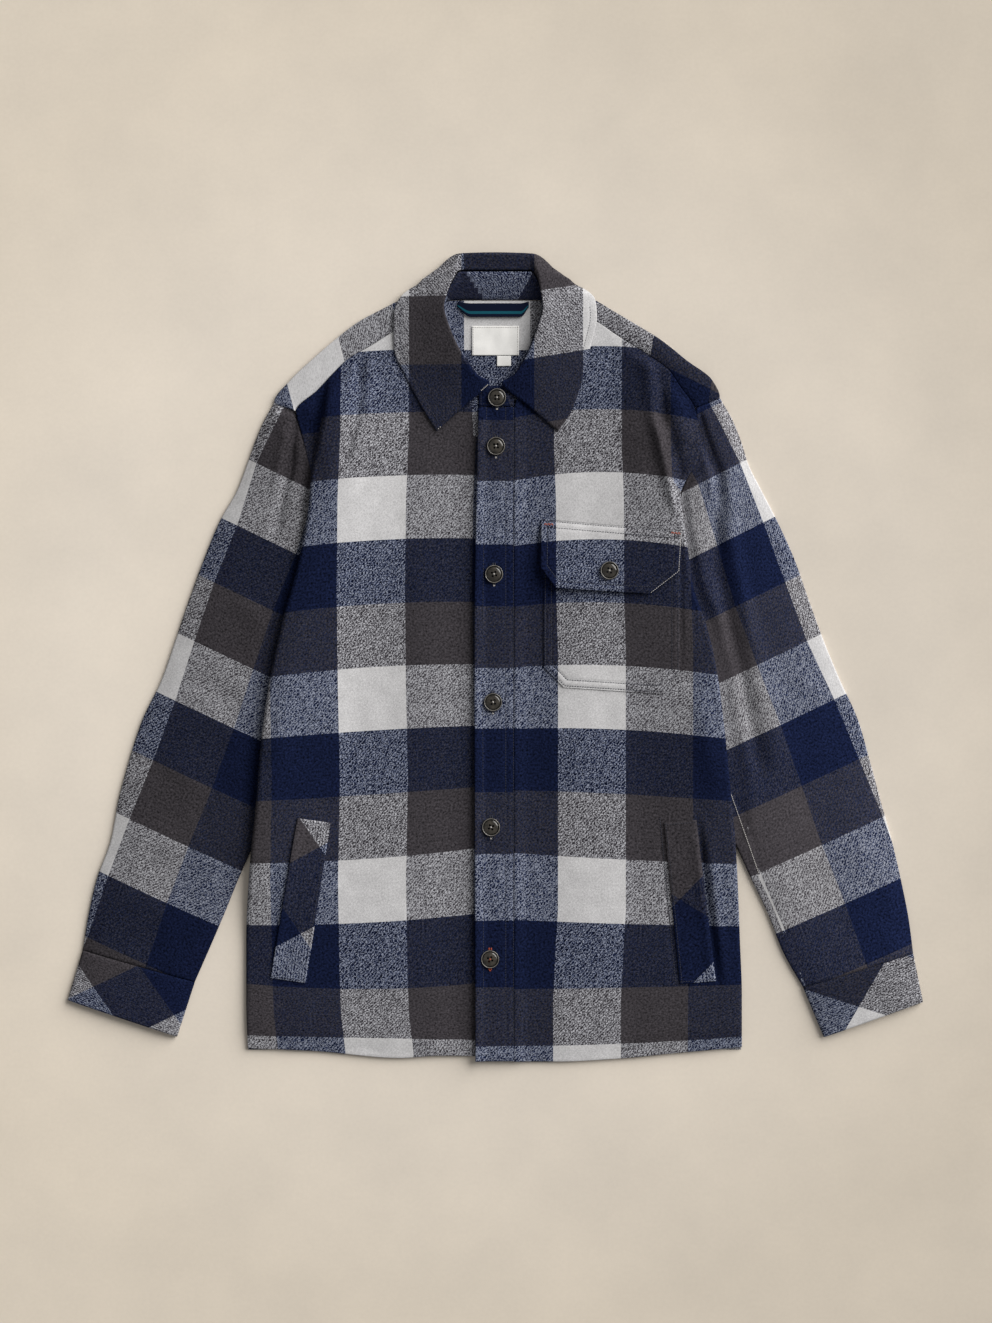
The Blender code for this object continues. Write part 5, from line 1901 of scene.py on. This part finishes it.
    def build(self) -> None:
        """Make the stand and the leaf."""
        sections = self.sections()
        foot, top, crest, fold, edge = (sections[:, k] for k in range(5))
        share = np.linspace(0, 1, self.stand_rows)[None, :, None]
        stand = foot[:, None] * (1 - share) + top[:, None] * share
        stand = stand + np.sin(np.pi * share) * np.array((0, 0, self.bow))
        inner = self.shell(stand[self.stations:-self.stations])
        sheet = ClothSheet("collar_stand_cloth", *inner, self.stand_cloth)
        sheet.build(TWILL, Slot.BIAS, ["collar_stand"], ["yoke_back"], Held.FOLDED)
        rise = crest - top
        start = top + rise * (self.seam + self.wall / 2) / np.linalg.norm(rise, axis=1, keepdims=True)
        chain = np.stack([start, crest, fold, edge], axis=1)
        at = spaced(self.leaf_length, self.leaf_step, self.rim)
        leaf = np.stack([
            np.stack([eased_curve(at, self.leaf_knots, axis) for axis in link.T], axis=1) for link in chain])
        wave = rippled(leaf[..., 0], leaf[..., 1], self.ripples)
        leaf[..., 2] += np.maximum(wave, self.deepest) * smoothstep(at / self.rippled_from)[None, :]
        upper, lower = self.shell(leaf)
        lines = self.stitch_lines(edge, leaf)
        press_lines(upper, lines, self.groove, self.groove_width)
        sheet = ClothSheet("collar_leaf_cloth", upper, lower, self.leaf_cloth)
        bed = bed_of(sheet.build(TWILL, Slot.CHECK, ["collar_leaf"], ["front_left"], Held.FOLDED))
        for line in lines:
            self.sewing.sew(line, bed, Thread.NAVY)
        for line in self.pale_edges:
            self.sewing.sew(line, bed, Thread.PALE, *self.pale_gauge)

    def stitch_lines(self, edge: Array, leaf: Array) -> list[list[Point]]:
        """Place the rows of stitches inside the leaf's edge and its two front ends.

        Args:
            edge: points of the leaf's edge.
            leaf: its whole grid.

        Returns:
            Corners of each row.
        """
        reach = 5 * self.stations
        left = inset(edge[2:reach:4, :2], -self.stitch_in)
        right = inset(edge[:-reach:-1][2::4, :2], self.stitch_in)
        front_left = inset(leaf[0, 12:-2:5, :2], self.stitch_in)
        front_right = inset(leaf[-1, 12:-2:5, :2], -self.stitch_in)
        return [left, right, front_left, front_right]


@dataclass
class ChestPocket:
    """Patch pocket with cut corners and its flap, on the right-hand front."""

    sewing: Stitching
    front: FrontPanel
    left: CutSide = CutSide((49, 131), (49, -9), (69.5, -30))
    right: CutSide = CutSide((187.5, 131), (187.5, -15), (169, -36.5))
    flap_left: CutSide = CutSide((46.5, 142), (46, 92), (61, 71.5))
    flap_right: CutSide = CutSide((189.5, 129.5), (187, 88), (158, 65.5))
    wall: float = 1.5
    gap: float = 0.3
    rim: float = 1.1
    step: float = 1.5
    width: float = 140.0
    pocket_rows: tuple[int, int] = (60, 14)
    flap_rows: tuple[int, int] = (26, 14)
    flap_lift: float = 6.5
    flap_lift_low: float = 2.0
    over_pocket: Fade = Fade(140.0, 12.0)
    double_row: Sequence[float] = (1.8, 8.0)
    flap_row: float = 6.5
    groove: float = 0.55
    groove_width: float = 1.1
    thread: float = 0.32
    pale_edge: float = 0.7
    pale_pitch: float = 2.2
    tacks: Sequence[Pairs] = (((49.5, 136.5), (59.0, 136.0)), ((178.5, 127.5), (188.0, 126.5)))
    tack_half: float = 1.5
    tack_turns: int = 6
    tack_thread: float = 0.34
    tack_fit: float = 0.98

    def outline(self, left: CutSide, right: CutSide) -> list[Point]:
        """Corners from the top of the left side round to the top of the right."""
        return [*left, *right[::-1]]

    def plan(self, left: CutSide, right: CutSide, rows: tuple[int, int]) -> Array:
        """Lay out a piece between two sides.

        Args:
            left: its left side.
            right: its right side.
            rows: number of rows down the straight part and down the cut corner.

        Returns:
            Fine grid of (x, y).
        """
        edges = []
        for side in (left, right):
            cut_corner = np.linspace(side.side, side.cut, rows[1])[1:]
            edges.append(np.concatenate([np.linspace(side.top, side.side, rows[0]), cut_corner]))
        return between_edges(*edges, spaced(self.width, self.step, self.rim))

    def bed(self, plan: Array) -> Array:
        """Height just above the front."""
        return self.front.face(plan[..., 0], plan[..., 1]) + self.gap

    def flap_low(self, plan: Array) -> Array:
        """Find the flap's lower face, which stands off the pocket towards its free corners.

        Args:
            plan: grid of (x, y).

        Returns:
            Heights above the floor.
        """
        left, right = self.flap_left, self.flap_right
        down = np.clip((left.top[1] - plan[..., 1]) / (left.top[1] - left.cut[1]), 0, 1)
        across = np.clip((plan[..., 0] - left.top[0]) / (right.top[0] - left.top[0]), 0, 1)
        lifted = down**1.2 * (self.flap_lift * (1 - across) ** 2 + self.flap_lift_low)
        return self.bed(plan) + (self.wall + self.gap) * self.over_pocket.falling(plan[..., 1]) + lifted

    def build(self) -> Piece:
        """Make the pocket and its flap.

        Returns:
            The flap, which a button is sewn on.
        """
        rows = [inset(self.outline(self.left, self.right), reach) for reach in self.double_row]
        plan = self.plan(self.left, self.right, self.pocket_rows)
        self.sewn_sheet("chest_pocket", plan, self.bed(plan), rows)
        free = self.outline(self.flap_left, self.flap_right)
        rows = [inset([free[-1], free[0]], reach) for reach in self.double_row] + [inset(free, self.flap_row)]
        plan = self.plan(self.flap_left, self.flap_right, self.flap_rows)
        flap = self.sewn_sheet("pocket_flap", plan, self.flap_low(plan), rows)
        bed = bed_of(flap)
        for tack in self.tacks:
            self.bar_tack(tack, bed)
        self.sewing.sew(inset(free[3:], self.pale_edge), bed, Thread.PALE, self.pale_pitch, self.thread)
        return flap

    def bar_tack(self, ends: Pairs, bed: BVHTree) -> None:
        """Sew a short zigzag of rust thread.

        Args:
            ends: its two ends.
            bed: surface of the flap.
        """
        start, end = np.array(ends)
        run = end - start
        side = np.array([run[1], -run[0]]) / math.hypot(*run) * self.tack_half
        turns = [start + run * k / self.tack_turns + side * (-1) ** k for k in range(self.tack_turns + 1)]
        for one, other in zip(turns, turns[1:]):
            pitch = self.tack_fit * math.dist(one, other)
            self.sewing.sew([tuple(one), tuple(other)], bed, Thread.RUST, pitch, self.tack_thread)

    def sewn_sheet(self, node: str, plan: Array, low: Array, rows: Sequence[Pairs]) -> Piece:
        """Make one sheet with its rows of stitches.

        Args:
            node: solid that it replaces.
            plan: grid of (x, y).
            low: height of its lower face.
            rows: lines of the stitches.

        Returns:
            The new piece.
        """
        upper, lower = shell_points(plan, low, self.wall, self.rim)
        press_lines(upper, rows, self.groove, self.groove_width)
        sheet = ClothSheet(f"{node}_cloth", upper, lower, self.front.cloth)
        piece = sheet.build(TWILL, Slot.CHECK, [node], ["front_right"])
        bed = bed_of(piece)
        for row in rows:
            self.sewing.sew(row, bed, Thread.NAVY, radius=self.thread)
        return piece


@dataclass
class Welt:
    """Slanted bias welt of a hand pocket, its outer long edge free."""

    sewing: Stitching
    front: FrontPanel
    corners: Pairs
    bias: TwoLineMap
    row_beside: Pairs = ()
    wall: float = 1.5
    gap: float = 0.3
    rim: float = 1.1
    step: float = 1.8
    free_lift: float = 1.4
    lift_reach: float = 14.0
    held_end: float = 26.0
    stitch_in: float = 2.2
    beside_thread: float = 0.4

    def build(self, panel: Piece) -> None:
        """Make the welt.

        Args:
            panel: the finished front.
        """
        side = self.front.hand.name.lower()
        top_left, top_right, low_right, low_left = self.corners
        long_edges = [[low_right, top_right], [top_left, low_left]]
        sewn, free = long_edges if self.front.hand is Hand.LEFT else long_edges[::-1]
        plan = corner_rows(self.corners, self.step, self.rim)
        x, y = plan[..., 0], plan[..., 1]
        ends = smoothstep((top_left[1] - y) / self.held_end) * smoothstep((y - low_left[1]) / self.held_end)
        lifted = self.free_lift * (1 - smoothstep(line_distance(x, y, free) / self.lift_reach)) * ends
        low = self.front.face(x, y) + self.gap + lifted
        sheet = ClothSheet(f"welt_{side}_cloth", *shell_points(plan, low, self.wall, self.rim), self.bias)
        bed = bed_of(sheet.build(TWILL, Slot.BIAS, [f"welt_{side}"], [f"front_{side}"]))
        for line in ([top_right, top_left], [low_left, low_right], sewn):
            self.sewing.sew(inset(line, self.stitch_in), bed, Thread.NAVY)
        if self.row_beside:
            self.sewing.sew(self.row_beside, bed_of(panel), Thread.NAVY, radius=self.beside_thread)


def left_welt(sewing: Stitching, front: FrontPanel) -> Welt:
    """Welt on the viewer's left.

    Args:
        sewing: rows of stitches to add to.
        front: panel that it is sewn on.

    Returns:
        The welt.
    """
    return Welt(
        sewing, front, ((-201.5, -163), (-168, -168), (-193.5, -331.5), (-229.5, -326.5)),
        TwoLineMap(StripeLine((-172.9, -200.9), (-198.4, -163.2), 1.0, 66.0),
                   StripeLine((-211.7, -210.1), (-177.0, -191.8), 2.0, 69.4)))


def right_welt(sewing: Stitching, front: FrontPanel) -> Welt:
    """Welt on the viewer's right, with a row of stitches beside it.

    Args:
        sewing: rows of stitches to add to.
        front: panel that it is sewn on.

    Returns:
        The welt.
    """
    return Welt(
        sewing, front, ((171.5, -168), (204.5, -165), (225, -329.5), (188, -332.5)),
        TwoLineMap(StripeLine((216.2, -263.2), (190.2, -246.8), 2.0, 80.0),
                   StripeLine((179.5, -255.0), (211.7, -221.3), 2.0, 69.4)),
        ((167.5, -163), (184.0, -333)))


@dataclass
class Buttons:
    """Turned four-hole buttons, sewn on, with the ends of the buttonholes that show."""

    sewing: Stitching
    places: Sequence[tuple[str, float, float]] = (
        ("button_neck", 1.5, 265.5), ("button_1", 0.5, 216.0), ("button_2", -1.5, 85.5),
        ("button_3", -2.5, -45.0), ("button_4", -4.5, -172.5), ("button_5", -5.5, -307.0))
    pocket_place: tuple[str, float, float] = ("button_pocket", 116.0, 89.0)
    radius: float = 9.4
    height: float = 3.4
    hole_radius: float = 1.1
    hole_spread: float = 2.5
    drill_depth: float = 20.0
    sides: int = 48
    sharp: float = math.radians(50)
    section: Pairs = (
        (0.0, 0.0), (0.80, 0.0), (0.93, 0.10), (0.985, 0.28), (1.0, 0.5), (0.99, 0.72), (0.965, 0.90),
        (0.94, 0.985), (0.92, 1.0), (0.90, 0.97), (0.875, 0.84), (0.86, 0.66), (0.84, 0.54), (0.81, 0.52),
        (0.785, 0.60), (0.74, 0.70), (0.64, 0.81), (0.50, 0.89), (0.30, 0.945), (0.0, 0.96))
    most_spin: float = 0.3
    cross_half: float = 1.25
    cross_gauge: Gauge = Gauge(2.4, 0.42)
    buttonhole: float = 23.0
    hole_pitch: float = 0.75
    hole_side: float = 1.1
    hole_half: float = 1.0
    hole_gauge: Gauge = Gauge(1.9, 0.36)
    bar_offsets: Sequence[float] = (-0.6, 0.0, 0.6)
    bar_reach: Point = (-1.4, 1.2)
    bar_gauge: Gauge = Gauge(2.5, 0.34)
    rust_sewn: str = "button_5"
    # Tones by distance from the centre: the horn's own colour in the centre, painted shade in the groove and on
    # the outer side, a painted highlight on the lip.
    tones: Sequence[tuple[float, HornFinish]] = (
        (0.79, HornFinish("horn_centre", (0.014, 0.012, 0.009), (0.062, 0.053, 0.041))),
        (0.868, HornFinish("horn_groove_painted_shade", (0.002, 0.002, 0.002), (0.005, 0.0045, 0.004))),
        (0.955, HornFinish("horn_lip_painted_highlight", (0.110, 0.103, 0.092), (0.230, 0.216, 0.196))),
        (9.99, HornFinish("horn_side_painted_shade", (0.002, 0.002, 0.002), (0.007, 0.006, 0.005))))

    def blank(self) -> bpy.types.Mesh:
        """Turn a button and drill its four holes.

        Returns:
            Its mesh, its back at z = 0.
        """
        shaped = bmesh.new()
        ring = [shaped.verts.new((r * self.radius * MM, 0, h * self.height * MM)) for r, h in self.section]
        line = [shaped.edges.new(pair) for pair in zip(ring, ring[1:])]
        bmesh.ops.spin(shaped, geom=ring + line, cent=(0, 0, 0), axis=(0, 0, 1), angle=math.tau,
                       steps=self.sides, use_merge=True)
        bmesh.ops.remove_doubles(shaped, verts=shaped.verts, dist=MM * MM)
        bmesh.ops.recalc_face_normals(shaped, faces=shaped.faces)
        mesh = bpy.data.meshes.new("button_blank")
        shaped.to_mesh(mesh)
        shaped.free()
        drill = bmesh.new()
        for quarter in range(4):
            angle = math.tau * (quarter + 0.5) / 4
            place = Matrix.Translation(Vector((math.cos(angle), math.sin(angle), 0)) * self.hole_spread * MM)
            bmesh.ops.create_cone(drill, cap_ends=True, segments=16, radius1=self.hole_radius * MM,
                                  radius2=self.hole_radius * MM, depth=self.drill_depth * MM, matrix=place)
        holes = bpy.data.meshes.new("button_holes")
        drill.to_mesh(holes)
        drill.free()
        helpers = [bpy.data.objects.new(item.name, item) for item in (mesh, holes)]
        for helper in helpers:
            bpy.context.scene.collection.objects.link(helper)
        cut = helpers[0].modifiers.new("holes", "BOOLEAN")
        cut.operation, cut.solver, cut.object = "DIFFERENCE", "EXACT", helpers[1]
        bpy.context.view_layer.update()
        drilled = bpy.data.meshes.new_from_object(helpers[0].evaluated_get(bpy.context.evaluated_depsgraph_get()))
        for helper in helpers:
            bpy.data.objects.remove(helper)
        drilled.materials.clear()
        for _, finish in self.tones:
            drilled.materials.append(finish.material())
        # Each face takes the tone of its ring, which paints the shade and the highlight.
        for face in drilled.polygons:
            out = face.center.xy.length / (self.radius * MM)
            face.material_index = next(k for k, (reach, _) in enumerate(self.tones) if out < reach)
        drilled.shade_smooth()
        drilled.set_sharp_from_angle(angle=self.sharp)
        return drilled

    def build(self, bed: BVHTree) -> None:
        """Make every button, its thread and its buttonhole.

        Args:
            bed: surface of the placket and the flap.
        """
        blank = self.blank()
        for name, x, y in (*self.places, self.pocket_place):
            base = float(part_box(name)[0][2])
            below = bed.ray_cast(Vector((x * MM, y * MM, self.sewing.ABOVE)), Vector((0, 0, -1)))[0]
            seat = base if below is None else max(base, below.z)
            mesh = blank.copy()
            spin = self.most_spin * math.sin(x + y)
            mesh.transform(Matrix.Translation((x * MM, y * MM, seat)) @ Matrix.Rotation(spin, 4, "Z"))
            piece = place_piece(f"{name}_horn", mesh, None, Slot.HORN)
            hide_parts(name)
            sewn, worked = (Thread.RUST, Thread.RUST) if name == self.rust_sewn else (Thread.PALE, Thread.NAVY)
            top = bed_of(piece)
            for turn in (0.25, 0.75):
                way = spin + math.pi * turn
                dx, dy = self.cross_half * math.cos(way), self.cross_half * math.sin(way)
                self.sewing.sew([(x - dx, y - dy), (x + dx, y + dy)], top, sewn, *self.cross_gauge)
            if name != self.pocket_place[0]:
                self.work_hole(x, y, bed, worked, sewn)

    def work_hole(self, x: float, y: float, bed: BVHTree, sides: Thread, bar: Thread) -> None:
        """Sew both sides of an upright buttonhole and the bar at its lower end.

        Args:
            x: place of the button across.
            y: place of the button along.
            bed: surface that it is sewn on.
            sides: thread of the sides.
            bar: thread of the bar.
        """
        top, end = y + self.buttonhole / 2, y - self.buttonhole / 2
        for k in range(int(self.buttonhole / self.hole_pitch)):
            level = top - (k + 0.5) * self.hole_pitch
            for side in (x - self.hole_side, x + self.hole_side):
                line = [(side - self.hole_half, level), (side + self.hole_half, level)]
                self.sewing.sew(line, bed, sides, *self.hole_gauge)
        for offset in self.bar_offsets:
            line = [(x + offset, end + reach) for reach in self.bar_reach]
            self.sewing.sew(line, bed, bar, *self.bar_gauge)


@dataclass
class NeckTrim:
    """Hanger loop, bare label and bare size tab inside the back of the neck."""

    sewing: Stitching
    loop_ends: Pairs = ((-39, 364.0), (34, 364.0))
    loop_run: Pairs = ((-25, 355), (25, 355))
    loop_knots: Sequence[float] = (0.0, 0.22, 0.78, 1.0)
    loop_width: float = 14.0
    loop_end_width: float = 6.0
    loop_step: float = 1.0
    loop_low: float = 0.4
    loop_rise: float = 1.6
    tape_wall: float = 1.0
    label: Pairs = ((-24, 339), (24, 339), (24, 309), (-24, 309))
    size_tab: Pairs = ((1.5, 308.5), (15.8, 308.5), (15.8, 298), (1.5, 298))
    label_wall: float = 0.8
    label_low: float = 0.35
    label_step: float = 1.2
    label_ripples: Sequence[Ripple] = (Ripple(0.3, 9.0, 31),)
    rim: float = 0.5
    stitch_in: float = 1.4
    stitch_pitch: float = 2.4
    loop_rows: int = 60

    def build(self) -> None:
        """Make the loop and both labels."""
        self.build_loop()
        bed = bed_of(self.build_label("neck_label", self.label))
        self.build_label("size_tab", self.size_tab)
        top_left, top_right, low_right, low_left = self.label
        for line in ([top_right, top_left], [top_left, low_left], [low_right, top_right]):
            self.sewing.sew(inset(line, self.stitch_in), bed, Thread.PALE, self.stitch_pitch)

    def build_label(self, node: str, corners: Pairs) -> Piece:
        """Make one bare label.

        Args:
            node: solid that it replaces.
            corners: its corners.

        Returns:
            The new piece.
        """
        plan = corner_rows(corners, self.label_step, self.rim)
        low = UPPER + self.label_low + rippled(plan[..., 0], plan[..., 1], self.label_ripples)
        faces = shell_points(plan, low, self.label_wall, self.rim)
        sheet = ClothSheet(f"{node}_cloth", *faces, lambda points, centres: points[..., :2])
        return sheet.build(LabelFinish(), Slot.LABEL, [node], ["yoke_back"])

    def build_loop(self) -> None:
        """Make the hanger loop, a tape that narrows to its sewn ends."""
        left_end, right_end = np.array(self.loop_ends, float)
        left_run, right_run = np.array(self.loop_run, float)
        half, narrow = np.array((0, self.loop_width / 2)), np.array((0, self.loop_end_width))
        corners = ([left_end, left_run + half, right_run + half, right_end],
                   [left_end - narrow, left_run - half, right_run - half, right_end - narrow])
        at = np.linspace(0, 1, self.loop_rows)
        upper, lower = (
            np.stack([eased_curve(at, self.loop_knots, axis) for axis in np.transpose(run)], axis=1)
            for run in corners)
        shares = spaced(self.loop_width, self.loop_step, self.rim)
        plan = between_edges(upper, lower, shares)
        low = UPPER + self.loop_low + self.loop_rise * np.sin(np.pi * at)[:, None] * np.ones(len(shares))

        def along_tape(points: Array, centres: Array) -> Array:
            """Place along the tape, and share of its width."""
            top, end = (np.interp(points[..., 0], edge[:, 0], edge[:, 1]) for edge in (upper, lower))
            return np.stack([points[..., 0], (top - points[..., 1]) / (top - end)], axis=-1)

        sheet = ClothSheet("hanger_loop_tape", *shell_points(plan, low, self.tape_wall, self.rim), along_tape)
        sheet.build(TapeFinish(), Slot.TAPE, ["hanger_loop"], ["yoke_back"], Held.HUNG)


@dataclass
class Studio:
    """Warm plaster floor, one broad light from the upper right, and the camera straight above."""

    floor_size: float = 40.0
    lens: float = 85.0
    sensor: float = 36.0
    picture_height: float = 1.3495
    aim: Point = (0.0005, -0.0036)
    cloth_level: float = 0.006
    key_power: float = 4.5
    key_spread: float = 56.0
    key_colour: Colour = (1.0, 0.985, 0.96)
    key_from: Triple = (0.70, 0.55, 0.46)
    key_distance: float = 3.0
    fill: float = 0.25
    fill_colour: Colour = (1.0, 0.995, 0.985)

    def build(self) -> None:
        """Make floor, lights and camera."""
        half = self.floor_size / 2
        mesh = bpy.data.meshes.new("floor")
        corners = [(-half, -half, 0), (half, -half, 0), (half, half, 0), (-half, half, 0)]
        mesh.from_pydata(corners, [], [(0, 1, 2, 3)])
        mesh.materials.append(FloorFinish().material())
        floor = bpy.data.objects.new("floor", mesh)
        scene = bpy.context.scene
        scene.collection.objects.link(floor)
        light = bpy.data.lights.new("window", "SUN")
        light.energy, light.angle, light.color = self.key_power, math.radians(self.key_spread), self.key_colour
        window = bpy.data.objects.new("window", light)
        window.location = self.key_distance * Vector(self.key_from)
        window.rotation_euler = (-Vector(self.key_from)).to_track_quat("-Z", "Y").to_euler()
        scene.collection.objects.link(window)
        world = bpy.data.worlds.new("room")
        world.use_nodes = True
        sky = world.node_tree.nodes["Background"]
        sky.inputs[0].default_value = (*self.fill_colour, 1.0)
        sky.inputs[1].default_value = self.fill
        scene.world = world
        lens = bpy.data.cameras.new("camera")
        lens.lens, lens.sensor_width = self.lens, self.sensor
        camera = bpy.data.objects.new("camera", lens)
        distance = self.picture_height * self.lens / self.sensor
        camera.location = (*self.aim, self.cloth_level + distance)
        scene.collection.objects.link(camera)
        scene.camera = camera
        scene.view_settings.view_transform = "Standard"


def main() -> None:
    """Build every sub-assembly in order, then the studio."""
    logging.basicConfig(level=logging.INFO, format="%(name)s %(message)s")
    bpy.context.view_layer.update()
    sewing = Stitching()
    fronts = [left_front(), right_front()]
    sleeves = [left_sleeve(sewing, fronts[0].edge), right_sleeve(sewing, fronts[1].edge)]
    BackPanel().build(sleeves, fronts)
    Yoke(sewing).build(fronts)
    for sleeve in sleeves:
        sleeve.build()
    panels = [front.build() for front in fronts]
    band = Placket(sewing).build()
    Collar(sewing).build()
    flap = ChestPocket(sewing, fronts[1]).build()
    for welt, panel in zip((left_welt(sewing, fronts[0]), right_welt(sewing, fronts[1])), panels):
        welt.build(panel)
    Buttons(sewing).build(bed_of(band, flap))
    NeckTrim(sewing).build()
    sewing.build("stitches", Slot.CHECK)
    Studio().build()


if __name__ == "__main__":
    main()
